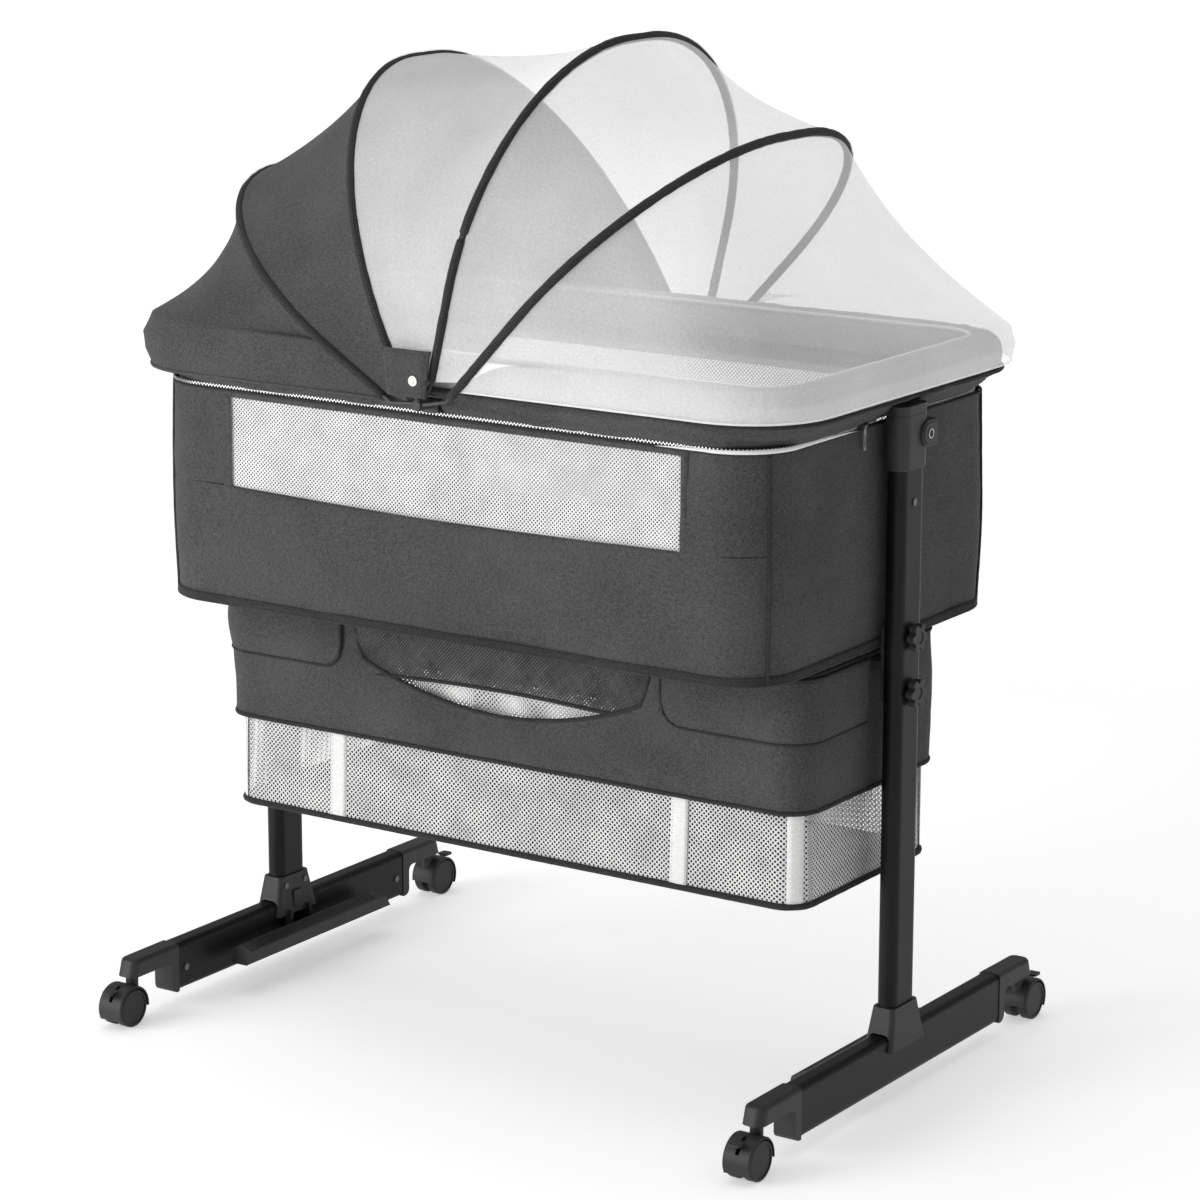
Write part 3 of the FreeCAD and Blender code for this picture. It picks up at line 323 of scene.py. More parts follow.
def stitches(name, points, material):
    """Row of short thread stitches along points."""
    verts, faces = [], []
    total, marks = 0.0, []
    for a, b in zip(points, points[1:]):
        a, b = Vector(a), Vector(b)
        span = (b - a).length
        while total < span:
            marks.append((a.lerp(b, total / span), (b - a).normalized()))
            total += STITCH
        total -= span
    for place, along in marks:
        side = along.cross(Vector((0.3, 0.5, 0.8))).normalized()
        other = along.cross(side)
        base = len(verts)
        verts.append(place - along * 0.0013)
        for k in range(4):
            angle = math.pi * k / 2
            verts.append(place + (side * math.cos(angle) + other * math.sin(angle)) * 0.0005)
        verts.append(place + along * 0.0013)
        for k in range(4):
            m = (k + 1) % 4
            faces.append((base, base + 1 + m, base + 1 + k))
            faces.append((base + 5, base + 1 + k, base + 1 + m))
    return new_mesh(name, verts, faces, material)


def join(name, things):
    bpy.ops.object.select_all(action="DESELECT")
    for thing in things:
        thing.select_set(True)
    bpy.context.view_layer.objects.active = things[0]
    bpy.ops.object.join()
    things[0].name = name
    return things[0]


def applied(thing):
    """Same piece with its modifiers made real."""
    graph = bpy.context.evaluated_depsgraph_get()
    data = bpy.data.meshes.new_from_object(thing.evaluated_get(graph))
    thing.modifiers.clear()
    thing.data = data
    return thing


def loop(half_x, half_y, radius, z, step=0.008):
    """Points and outward normals counter-clockwise round a rounded rectangle, from its +X side."""
    points = []
    corners = [(half_x - radius, half_y - radius, 0), (radius - half_x, half_y - radius, 90),
               (radius - half_x, radius - half_y, 180), (half_x - radius, radius - half_y, 270)]
    straights = [(2 * (half_y - radius), Vector((0, 1, 0))), (2 * (half_x - radius), Vector((-1, 0, 0))),
                 (2 * (half_y - radius), Vector((0, -1, 0))), (2 * (half_x - radius), Vector((1, 0, 0)))]
    here = Vector((half_x, radius - half_y, z))
    for (cx, cy, turn), (length, way) in zip(corners, straights):
        pieces = max(2, round(length / step))
        normal = Vector((way.y, -way.x, 0))
        for i in range(pieces):
            points.append((here + way * length * i / pieces, normal))
        pieces = max(6, round(radius * math.pi / 2 / step))
        for i in range(pieces):
            angle = math.radians(turn + 90 * i / pieces)
            out = Vector((math.cos(angle), math.sin(angle), 0))
            points.append((Vector((cx, cy, z)) + out * radius, out))
        end = math.radians(turn + 90)
        here = Vector((cx, cy, z)) + radius * Vector((math.cos(end), math.sin(end), 0))
    return points


def crease(point, scale, amount, stretch=(1, 1, 1)):
    """Smooth wrinkle height at a point."""
    at = Vector((point[0] * stretch[0], point[1] * stretch[1], point[2] * stretch[2])) * scale
    return amount * (noise.noise(at) + 0.5 * noise.noise(at * 2.1 + Vector((7, 3, 1))))


def sealed(thing):
    """Welds a skin's doubled points, fills its open ends and turns its faces outwards."""
    mesh = bmesh.new()
    mesh.from_mesh(thing.data)
    bmesh.ops.remove_doubles(mesh, verts=mesh.verts, dist=1e-5)
    bmesh.ops.holes_fill(mesh, edges=[e for e in mesh.edges if e.is_boundary])
    bmesh.ops.recalc_face_normals(mesh, faces=mesh.faces)
    mesh.to_mesh(thing.data)
    mesh.free()


def inflate(thing, voxel, pressure, cap, shrink=0.0):
    """Cloth pressure on a remeshed copy: crowned, slightly wrinkled stuffing."""
    remesh = thing.modifiers.new("skin", "REMESH")
    remesh.mode = "VOXEL"
    remesh.voxel_size = voxel
    remesh.use_smooth_shade = True
    applied(thing)
    rest = [v.co.copy() for v in thing.data.vertices]
    cloth = thing.modifiers.new("cloth", "CLOTH")
    cloth.settings.quality = 4
    cloth.settings.use_pressure = True
    cloth.settings.uniform_pressure_force = pressure
    cloth.settings.shrink_min = shrink
    cloth.settings.effector_weights.gravity = 0.0
    cloth.settings.tension_stiffness = 8
    cloth.settings.bending_stiffness = 0.4
    cloth.point_cache.frame_start = 1
    cloth.point_cache.frame_end = 20
    for step in range(1, 21):
        bpy.context.scene.frame_set(step)
    applied(thing)
    for vertex, old in zip(thing.data.vertices, rest):
        move = vertex.co - old
        if move.length > cap:
            vertex.co = old + move.normalized() * cap
    bpy.context.scene.frame_set(1)
    thing.data.materials.clear()
    return thing


def dressed(thing, material):
    thing.data.materials.clear()
    thing.data.materials.append(material)
    thing.data.polygons.foreach_set("use_smooth", [True] * len(thing.data.polygons))
    return thing


# ---------------------------------------------------------------- bassinet body

BODY_X, BODY_Y, BODY_CORNER = 0.446, 0.280, 0.074
BODY_LOW, BODY_HIGH = (corner.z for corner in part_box("shell_fabric"))
WIN_LOW, WIN_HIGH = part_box("window_meshes")
WIN_CENTRE = (WIN_LOW + WIN_HIGH) / 2
SEAM_TURN = 56.0        # degrees round each corner from the long side to its upright seam


def body_loop(z, step=0.008):
    return loop(BODY_X, BODY_Y, BODY_CORNER, z, step)


def sag(x):
    """The window's lower edge hangs a little in the middle."""
    share = (x - WIN_LOW.x) / (WIN_HIGH.x - WIN_LOW.x)
    return 0.006 * math.sin(math.pi * min(1, max(0, share)))


def body_rows(offset, wrinkle):
    """Rows of the body's wall from the bottom hem up; rows are set on the window's edges."""
    low, high = BODY_LOW + 0.002, BODY_HIGH
    levels = [low + (WIN_LOW.z - low) * i / 26 for i in range(26)]
    levels += [WIN_LOW.z + (WIN_HIGH.z - WIN_LOW.z) * i / 18 for i in range(19)]
    levels += [WIN_HIGH.z + (high - WIN_HIGH.z) * i / 3 for i in range(1, 4)]
    outline = loop(BODY_X - offset, BODY_Y - offset, BODY_CORNER - offset, 0.0, 0.007)
    rows = []
    for z in levels:
        share = (z - low) / (high - low)
        row = []
        for point, out in outline:
            swell = 0.0025 * math.sin(math.pi * share) * wrinkle
            ruck = crease((point.x, point.y, z), 9, 0.0022 * wrinkle, (1, 1, 0.6))
            ruck += crease((point.x, point.y, z), 60, 0.0006 * wrinkle, (1, 1, 0.25)) * (1 - share) ** 3
            ruck += crease((point.x, point.y, z), 30, 0.0008 * wrinkle, (0.6, 0.6, 1.3))
            near_top = max(0, (share - 0.93) / 0.07)
            ruck += crease((point.x, point.y, 0), 55, 0.0011 * wrinkle * near_top)
            drop = 0.0
            if abs(point.y) > BODY_Y - 0.02 and abs(z - WIN_LOW.z) < 0.02:
                drop = -sag(point.x) * (1 - abs(z - WIN_LOW.z) / 0.02)
            place = Vector((point.x, point.y, z + drop)) + out * (swell + ruck - 0.0008)
            row.append(place)
        rows.append(row)
    return rows, levels, outline


def in_window(levels, outline):
    def skip(r, c):
        point = outline[c][0]
        after = outline[(c + 1) % len(outline)][0]
        middle = (point + after) / 2
        z = (levels[r] + levels[r + 1]) / 2
        return (abs(point.y) > BODY_Y - 0.02 and abs(after.y) > BODY_Y - 0.02
                and WIN_LOW.x < middle.x < WIN_HIGH.x and WIN_LOW.z < z < WIN_HIGH.z)
    return skip


def underside(name, half_x, half_y, corner, z, material):
    outline = loop(half_x, half_y, corner, z, 0.02)
    rows = []
    for k in range(9):
        share = 1 - k / 8.5
        rows.append([Vector((p.x * share, p.y * share, z + 0.0006 * k + crease(p * share, 8, 0.0004)))
                     for p, out in outline])
    return grid(name, rows, material, closed=True)


def frame_of_window(side):
    """Binding and stitching round one window."""
    y = side * (BODY_Y + 0.0012)
    corners = [(WIN_LOW.x, WIN_LOW.z), (WIN_HIGH.x, WIN_LOW.z),
               (WIN_HIGH.x, WIN_HIGH.z), (WIN_LOW.x, WIN_HIGH.z)]
    outer = []
    for (x0, z0), (x1, z1) in zip(corners, corners[1:] + corners[:1]):
        for i in range(60):
            x = x0 + (x1 - x0) * i / 60
            z = z0 + (z1 - z0) * i / 60
            if z0 == z1 == WIN_LOW.z:
                z -= sag(x)
            outer.append((x, z))
    centre = Vector((WIN_CENTRE.x, WIN_CENTRE.z))
    rows = []
    for grow, lift in ((0.009, -0.0004), (0.008, 0.0011), (0.001, 0.0013), (-0.0012, 0.0004)):
        row = []
        for x, z in outer:
            dx = grow if x > centre.x else -grow
            on_x = abs(abs(x - centre.x) - (WIN_HIGH.x - WIN_LOW.x) / 2) < 1e-4
            on_z = z <= WIN_LOW.z + 1e-4 or z >= WIN_HIGH.z - 1e-4
            row.append(Vector((x + (dx if on_x else 0), y + side * lift,
                               z + (math.copysign(grow, z - centre.y) if on_z else 0))))
        rows.append(row)
    strip = grid("window_binding", rows, CHARCOAL, closed=True)
    seam = []
    for x, z in outer:
        on_x = abs(abs(x - centre.x) - (WIN_HIGH.x - WIN_LOW.x) / 2) < 1e-4
        seam.append(Vector((x + (math.copysign(0.0065, x - centre.x) if on_x else 0), y + side * 0.0016,
                            z + (math.copysign(0.0065, z - centre.y) if not on_x else 0))))
    return [strip, stitches("window_stitch", seam + seam[:1], THREAD)]


def build_body():
    rows, levels, outline = body_rows(0.0, 1.0)
    wall = grid("body_cover", rows, CHARCOAL, closed=True, skip=in_window(levels, outline), thick=0.0012)
    applied(wall)
    under = underside("body_under", BODY_X - 0.001, BODY_Y - 0.001, BODY_CORNER, BODY_LOW + 0.001, CHARCOAL)
    pieces = [wall, under]
    hem = [p + out * 0.0008 for p, out in body_loop(BODY_LOW + 0.003)]
    pieces.append(tube("hem_piping", hem, 0.0026, CHARCOAL_DEEP, closed=True, ripple=0.05))
    hem_rows = []
    for height, lift in ((0.0125, 0.0), (0.0120, 0.0014), (0.006, 0.0022), (0.003, 0.0016)):
        row = []
        for p, out in body_loop(0.0, 0.005):
            proud = lift + crease((p.x, p.y, height), 45, 0.0005) + 0.0008
            row.append(Vector((p.x, p.y, BODY_LOW + height)) + out * proud)
        hem_rows.append(row)
    pieces.append(grid("hem_band", hem_rows[::-1], CHARCOAL_DEEP, closed=True))
    above = [p + out * 0.0030 for p, out in body_loop(BODY_LOW + 0.0105)]
    pieces.append(stitches("hem_stitch", above + above[:1], THREAD))
    top = [p + out * 0.0012 for p, out in body_loop(BODY_HIGH - 0.002)]
    pieces.append(tube("top_piping", top, 0.0018, CHARCOAL_DEEP, closed=True, ripple=0.05))
    for side in (-1, 1):
        pieces += frame_of_window(side)
        for x in (-BODY_X + BODY_CORNER, BODY_X - BODY_CORNER):
            turn = math.radians(SEAM_TURN)
            out = Vector((math.copysign(math.sin(turn), x), side * math.cos(turn), 0))
            foot = Vector((x, side * (BODY_Y - BODY_CORNER), 0)) + out * (BODY_CORNER + 0.001)
            seam = []
            for i in range(61):
                p = foot + Vector((0, 0, BODY_LOW + 0.004 + (BODY_HIGH - BODY_LOW - 0.008) * i / 60))
                swell = 0.0025 * math.sin(math.pi * i / 60)
                seam.append(p + out * (swell + crease(p, 9, 0.0016, (1, 1, 0.6))))
            pieces.append(tube("corner_seam", seam, 0.0017, CHARCOAL_DEEP, flat=1.6, sides=8, ripple=0.1))
            back = Vector((-math.copysign(math.cos(turn), x), side * math.sin(turn), 0)) * 0.0055
            pieces.append(stitches("corner_stitch", [p + back + out * 0.0004 for p in seam], THREAD))
            edge = WIN_LOW.x if x < 0 else WIN_HIGH.x
            cross = [Vector((p.x, p.y, WIN_LOW.z)) + out * 0.0016
                     for p, out in body_loop(0.0, 0.005)
                     if out.y * side > math.cos(turn) and (p.x - edge) * math.copysign(1, x) > 0.008]
            cross.sort(key=lambda point: point.x)
            pieces.append(tube("cross_seam", cross, 0.0011, CHARCOAL_DEEP, sides=8))
            below = [p + Vector((0, side * 0.0005, -0.005)) for p in cross]
            pieces.append(stitches("cross_stitch", below, THREAD))
    cover = join("body_cover", pieces)
    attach(cover, "bassinet")
    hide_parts("shell_fabric")

    rows, levels, outline = body_rows(0.0048, 0.5)
    liner = grid("body_lining", rows, PALE, closed=True, skip=in_window(levels, outline))
    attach(liner, "bassinet")
    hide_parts("inner_liner")

    panels = []
    for side in (-1, 1):
        rows = []
        for r in range(15):
            row = []
            for c in range(81):
                x = WIN_LOW.x - 0.003 + (WIN_HIGH.x - WIN_LOW.x + 0.006) * c / 80
                low = WIN_LOW.z - 0.003 - sag(x)
                z = low + (WIN_HIGH.z + 0.003 - low) * r / 14
                push = 0.002 * math.sin(math.pi * r / 14) * math.sin(math.pi * c / 80)
                row.append(Vector((x, side * (BODY_Y - 0.0015 - push + crease((x, 0, z), 12, 0.0006)), z)))
            rows.append(row)
        panels.append(grid("window_knit", rows, WINDOW))
    knit = join("window_knit", panels)
    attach(knit, "bassinet")
    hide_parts("window_meshes")


def build_mattress():
    low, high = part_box("mattress")
    half = (high - low) / 2
    outline = loop(half.x, half.y, 0.062, 0.0, 0.012)
    rows = []
    for share in (0.12, 0.4, 0.7, 0.92):
        rows.append([Vector((p.x * share, p.y * share, low.z + 0.0006)) for p, out in outline])
    for z, inset in ((low.z + 0.006, 0.006), (low.z + 0.02, 0.003),
                     (high.z - 0.012, 0.004), (high.z - 0.004, 0.009)):
        rows.append([Vector((p.x, p.y, z)) - out * inset for p, out in outline])
    for share in (0.94, 0.7, 0.4, 0.12):
        rows.append([Vector((p.x * share, p.y * share, high.z - 0.001)) for p, out in outline])
    pad = grid("mattress_pad", rows, LINING, closed=True)
    sealed(pad)
    inflate(pad, 0.007, 2.0, 0.003)
    for vertex in pad.data.vertices:
        vertex.co.z = min(high.z + 0.002, max(low.z + 0.0003, vertex.co.z + crease(vertex.co, 14, 0.0008)))
    dressed(pad, LINING)
    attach(pad, "bassinet")
    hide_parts("mattress")
    edge = [p for p, out in loop(half.x - 0.0015, half.y - 0.0015, 0.058, low.z + 0.031, 0.008)]
    piping = tube("mattress_piping", edge, 0.0022, PALE, closed=True)
    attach(piping, "bassinet")


ROLL_X, ROLL_Y, ROLL_CORNER, ROLL_LOW = 0.484, 0.288, 0.100, 0.856


def build_roll():
    """Stuffed roll on the rim, with the gathers that its cover takes at the corners."""
    low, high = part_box("padded_rim")
    z = (low.z + high.z) / 2
    radius = 0.0262
    outline = loop(ROLL_X - 0.0240, ROLL_Y - 0.0285, ROLL_CORNER - 0.0285, z, 0.009)
    rows = []
    sides = 22
    for k in range(sides):
        angle = 2 * math.pi * k / sides
        across, up = math.cos(angle), math.sin(angle)
        across = math.copysign(abs(across) ** 0.85, across)
        up = math.copysign(abs(up) ** 0.85, up)
        lift = Vector((0, 0, up * (radius - 0.0008)))
        rows.append([p + out * across * radius + lift for p, out in outline])
    rows.append(rows[0])
    roll = grid("rim_roll", rows, LINING, closed=True)
    sealed(roll)
    inflate(roll, 0.0055, 3.0, 0.0016, 0.02)
    mesh = roll.data
    for vertex in mesh.vertices:
        at = vertex.co
        corner = max(0.0, min(1.0, (abs(at.x) - 0.36) / 0.06))
        corner *= max(0.0, min(1.0, (abs(at.y) - 0.17) / 0.05))
        turn = math.atan2(abs(at.y) - (ROLL_Y - ROLL_CORNER), abs(at.x) - (ROLL_X - ROLL_CORNER))
        gather = -0.0030 * corner * abs(math.sin(turn * 9 + 2.5 * noise.noise(at * 24))) ** 2
        slow = crease(at, 16, 0.0026, (0.6, 0.6, 1))
        fine = crease(at, 48, 0.0010, (1, 1, 0.45))
        vertex.co = at + vertex.normal * (gather + slow * 0.6 - 0.0008 + fine)
    smooth = roll.modifiers.new("smooth", "SUBSURF")
    smooth.levels = smooth.render_levels = 1
    dressed(roll, LINING)
    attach(roll, "bassinet")
    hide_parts("padded_rim")
    edge = [p + Vector((0, 0, 0.0205)) - out * 0.0178 for p, out in outline]
    joined = tube("roll_piping", edge, 0.0026, WEBBING, closed=True, ripple=0.1)
    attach(joined, "bassinet")


def build_band():
    """Dark cloth gathered between the body's top and the roll."""
    low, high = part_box("rim_band")
    rows = []
    outline = loop(ROLL_X, ROLL_Y, ROLL_CORNER, 0.0, 0.005)
    for k in range(13):
        share = k / 12
        z = low.z - 0.001 + (ROLL_LOW + 0.010 - low.z) * share
        row = []
        for p, out in outline:
            inner = Vector((p.x * (BODY_X + 0.001) / ROLL_X, p.y * (BODY_Y + 0.001) / ROLL_Y, z))
            outer = Vector((p.x, p.y, z)) - out * 0.0025
            fold = 0.0014 * math.sin(3.4 * math.pi * share + 6 * noise.noise(p * 12))
            fold += crease((p.x, p.y, z), 40, 0.0013, (1, 1, 0.5))
            bulge = 0.0030 * math.sin(math.pi * share)
            place = inner.lerp(outer, share ** 1.5) + out * (bulge + fold)
            row.append(place)
        rows.append(row)

    def skip(r, c):
        point = outline[c][0]
        at_column = abs(point.x) > 0.40 and abs(point.y) < 0.036
        return at_column and rows[r][c].z < 0.8585 or abs(point.x + 0.012) < 0.013 and rows[r][c].z < 0.858
    band = grid("rim_skirt", rows, CHARCOAL, closed=True, skip=skip, thick=0.001)
    applied(band)
    edge = tube("skirt_binding", rows[-1], 0.0024, CHARCOAL_DEEP, closed=True, ripple=0.12, sides=8)
    band = join("rim_skirt", [band, edge])
    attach(band, "bassinet")
    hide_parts("rim_band")


def build_zip():
    """Zip teeth over the tape."""
    low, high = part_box("zipper")
    outline = loop(BODY_X + 0.0012, BODY_Y + 0.0012, BODY_CORNER, (low.z + high.z) / 2, 0.0024)
    verts, faces = [], []
    for index, (point, out) in enumerate(outline):
        if point.y > -0.062:
            continue
        along = Vector((-out.y, out.x, 0))
        lift = Vector((0, 0, 0.0008 if index % 2 else -0.0008))
        base = len(verts)
        for a, b, c in ((-1, -1, -1), (1, -1, -1), (1, 1, -1), (-1, 1, -1),
                        (-1, -1, 1), (1, -1, 1), (1, 1, 1), (-1, 1, 1)):
            verts.append(point + lift + along * a * 0.0007 + Vector((0, 0, b * 0.0010)) + out * c * 0.0008)
        for face in ((0, 3, 2, 1), (4, 5, 6, 7), (0, 1, 5, 4), (1, 2, 6, 5), (2, 3, 7, 6), (3, 0, 4, 7)):
            faces.append(tuple(base + i for i in face))
    gap = []
    for point, out in loop(BODY_X + 0.0026, BODY_Y + 0.0026, BODY_CORNER, low.z - 0.0005, 0.004):
        if point.y < -0.07 and point.x > 0.30:
            gap.append((point, out))
    gap.sort(key=lambda pair: pair[0].x + pair[0].y)
    rows = []
    for k in range(4):
        row = []
        for c, (point, out) in enumerate(gap):
            tall = 0.0052 * math.sin(math.pi * min(1, c / (len(gap) - 1) * 1.02)) ** 0.6
            row.append(point + out * 0.0012 * math.sin(math.pi * k / 3) + Vector((0, 0, tall * k / 3)))
        rows.append(row)
    lining = grid("zip_lining", rows, WEBBING)
    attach(lining, "bassinet")
    teeth = new_mesh("zip_teeth", verts, faces, STEEL, smooth=False)
    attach(teeth, "bassinet")


RING_RADIUS = 0.0052


def build_button_rings():
    """Pale release mark printed on each height button: a ring."""
    for side, name in ((1, "right"), (-1, "left")):
        low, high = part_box("height_button_" + name)
        face = high.x if side > 0 else low.x
        centre = Vector((face + side * 0.0002, 0.024, (low.z + high.z) / 2))
        ring = []
        for k in range(36):
            angle = k * math.pi / 18
            ring.append(centre + Vector((0, math.cos(angle), math.sin(angle))) * RING_RADIUS)
        mark = tube("button_ring_" + name, ring, 0.0006, CLIP, closed=True, sides=8)
        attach(mark, "button_" + name)


# ---------------------------------------------------------------- canopy

PIVOT = Vector((-0.012, 0, 0.814))
ANGLES = (148.5, 117.8, 76.7, 47.0)
REACH = (0.495, 0.461, 0.460, 0.471)
LEG_END = (0.160, 0.090, 0.180, 0.200)
HALF_WIDTH, PITCH, CROWN = 0.2925, 0.0054, 0.020
HOOPS = ("hoop_1_body", "hoop_2_body", "hoop_3_body", "hoop_4_body")


def spaced(points, count):
    """The same line with its points evenly apart."""
    run = [0.0]
    for a, b in zip(points, points[1:]):
        run.append(run[-1] + (b - a).length)
    even, at = [], 0
    for i in range(count):
        want = run[-1] * i / (count - 1)
        while at < len(run) - 2 and run[at + 1] < want:
            at += 1
        share = (want - run[at]) / max(1e-9, run[at + 1] - run[at])
        even.append(points[at].lerp(points[at + 1], min(1, max(0, share))))
    return even


def hoop_line(index, start, grow=0.0, shift=0.0, count=97):
    """Even points along a hoop from its -Y leg over the crown to its +Y leg."""
    angle = math.radians(ANGLES[index])
    along = Vector((math.cos(angle), 0, math.sin(angle)))
    normal = Vector((along.z, 0, -along.x))
    half = HALF_WIDTH + index * PITCH + grow
    top = REACH[index] + grow
    leg = LEG_END[index]
    raw = [(-half, start), (-half, leg)]
    for i in range(1, 49):
        turn = math.pi / 2 * i / 48
        raw.append((-CROWN - (half - CROWN) * math.cos(turn), leg + (top - leg) * math.sin(turn)))
    raw += [(-y, reach) for y, reach in reversed(raw)]
    points = [PIVOT + Vector((0, y, 0)) + along * reach + normal * shift for y, reach in raw]
    return spaced(points, count)


def hem_start(index, z):
    """Distance along a hoop's plane from the pivot to height z."""
    return (z - PIVOT.z) / math.sin(math.radians(ANGLES[index]))


def rim_line(side, start_x, half_x, half_y, corner, z, count=97):
    """Even points round one end of the rim, from the -Y side to the +Y side."""
    raw = [Vector((start_x, -half_y, z)), Vector((side * (half_x - corner), -half_y, z))]
    for i in range(1, 13):
        turn = math.pi / 2 * i / 12
        x = side * (half_x - corner + corner * math.sin(turn))
        raw.append(Vector((x, -half_y + corner - corner * math.cos(turn), z)))
    raw += [Vector((p.x, -p.y, p.z)) for p in reversed(raw)]
    return spaced(raw, count)


def stretched(name, lines, material, hollow, wrinkle, rows=24):
    """Sheet pulled over several lines, hanging in slightly between the first two."""
    out = []
    segments = len(lines) - 1
    for k, (first, second) in enumerate(zip(lines, lines[1:])):
        count = rows if k == 0 else 5
        for r in range(count + (1 if k == segments - 1 else 0)):
            share = r / count
            row = []
            for c, (a, b) in enumerate(zip(first, second)):
                place = a.lerp(b, share)
                crown = math.sin(math.pi * c / (len(first) - 1)) ** 0.7
                inward = (PIVOT + Vector((0, place.y * 0.3, 0.05)) - place).normalized()
                pull = hollow * 4 * share * (1 - share) * crown if k == 0 else 0.0
                ruck = crease(place, 11, wrinkle, (1, 0.6, 1))
                ruck *= math.sin(math.pi * share) if k == 0 else 0.2
                row.append(place + inward * (pull + ruck))
            out.append(row)
    return grid(name, out, material)


def sleeve(index):
    """Stitched cloth casing round one hoop."""
    line = hoop_line(index, 0.068 if index else 0.075, 0.0, 0.0, 121)
    casing = tube("hoop_casing_%d" % (index + 1), line, 0.0056, CHARCOAL_DEEP, ripple=0.10, sides=12)
    outside = hoop_line(index, 0.075, 0.0058, 0.0025, 121)
    thread = stitches("casing_stitch", outside, THREAD)
    both = join("hoop_casing_%d" % (index + 1), [casing, thread])
    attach(both, HOOPS[index])


def fan_panel(name, node, index, material, hem, hollow, wrinkle):
    """Cloth between two neighbouring hoops."""
    first = hoop_line(index, hem_start(index, hem), 0.0, 0.0045)
    second = hoop_line(index + 1, hem_start(index + 1, hem), 0.0, -0.0045)
    panel = stretched(name, [first, second], material, hollow, wrinkle)
    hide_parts(node)
    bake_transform(panel)


def end_panel(name, node, index, side, material, profile, hollow, wrinkle):
    """Cloth from the last hoop at one end over the roll, through profile's (grow, height) lines."""
    first = hoop_line(index, hem_start(index, profile[-1][1] + 0.004), 0.0, side * 0.0045)
    lines = [first]
    for grow, z in profile:
        start = PIVOT.x + (z - PIVOT.z) / math.tan(math.radians(ANGLES[index])) + side * 0.006
        half_y = max(HALF_WIDTH + index * PITCH - 0.001, ROLL_Y + grow * 0.35)
        lines.append(rim_line(side, start, ROLL_X + grow, half_y, ROLL_CORNER + 0.004, z))
    panel = stretched(name, lines, material, hollow, wrinkle)
    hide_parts(node)
    hem = tube(name + "_hem", lines[-1], 0.0022 if side < 0 else 0.0012, material, sides=8, ripple=0.1)
    return panel, hem, lines


def build_canopy():
    for index in range(4):
        sleeve(index)
    fan_panel("hood_top_cloth", "hood_top_panel", 0, CHARCOAL, 0.853, 0.012, 0.0022)
    fan_panel("net_top_cloth", "net_top_panel", 1, NET_PAINTED_GLOW, 0.880, 0.014, 0.0016)
    fan_panel("net_side_cloth", "net_side_panel", 2, NET_PAINTED_GLOW, 0.880, 0.014, 0.0016)
    over_roll = ((0.004, 0.912), (0.017, 0.888), (0.015, 0.868), (0.006, 0.849))
    hood, hem, lines = end_panel("hood_end_cloth", "hood_end_panel", 0, -1, CHARCOAL,
                                 over_roll, 0.018, 0.003)
    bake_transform(hood)
    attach(hem, "bassinet")
    net, hem, lines = end_panel("net_end_cloth", "net_end_panel", 3, 1, NET_PAINTED_GLOW,
                                ((0.001, 0.912), (0.007, 0.892), (0.002, 0.872)), 0.018, 0.002)
    for cloth in (net, hem):    # the end net moves with its hoop as that folds back
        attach(cloth, HOOPS[3])
        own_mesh(cloth)


def build_tab():
    """Reinforced tab with a metal snap in front of the pivot."""
    low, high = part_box("snap_tab")
    rows = []
    for r in range(25):
        z = low.z + (high.z - low.z) * r / 24
        share = r / 24
        half = 0.028 + 0.006 * share
        row = []
        for c in range(25):
            t = c / 24 * 2 - 1
            x = (low.x + high.x) / 2 + t * half
            edge = 0.003 * max(0, abs(t) - 0.7) * 3 + 0.004 * max(0, share - 0.85) * 5
            row.append(Vector((x, high.y - 0.001 + edge + crease((x, 0, z), 40, 0.0006), z)))
        rows.append(row)
    flap = grid("snap_flap", rows, CHARCOAL, thick=0.0014)
    applied(flap)
    outline = rows[2][2:-2] + [row[-3] for row in rows[3:-2]]
    outline += rows[-3][2:-2][::-1] + [row[2] for row in rows[3:-2]][::-1]
    lifted = [p + Vector((0, -0.0012, 0)) for p in outline]
    thread = stitches("flap_stitch", lifted + lifted[:1], THREAD)
    cap_rows = []
    centre = Vector((-0.014, high.y - 0.0030, 0.880))
    for radius, out in ((0.0064, 0.0024), (0.0066, 0.0006), (0.0062, -0.0004), (0.0052, -0.0006),
                        (0.0046, 0.0), (0.0030, -0.0006), (0.0012, -0.0010), (0.0001, -0.0011)):
        angles = [a * math.pi / 16 for a in range(32)]
        cap_rows.append([centre + Vector((radius * math.cos(a), out, radius * math.sin(a))) for a in angles])
    cap = grid("snap_cap", cap_rows, SNAP, closed=True)
    tab = join("snap_flap", [flap, thread, cap])
    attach(tab, "bassinet")
    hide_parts("snap_tab")


# ---------------------------------------------------------------- storage

BASKET_X, BASKET_Y, BASKET_CORNER = 0.425, 0.157, 0.034
STRAP_TOP = 0.530


def basket_loop(z, step=0.008):
    return loop(BASKET_X, BASKET_Y, BASKET_CORNER, z, step)


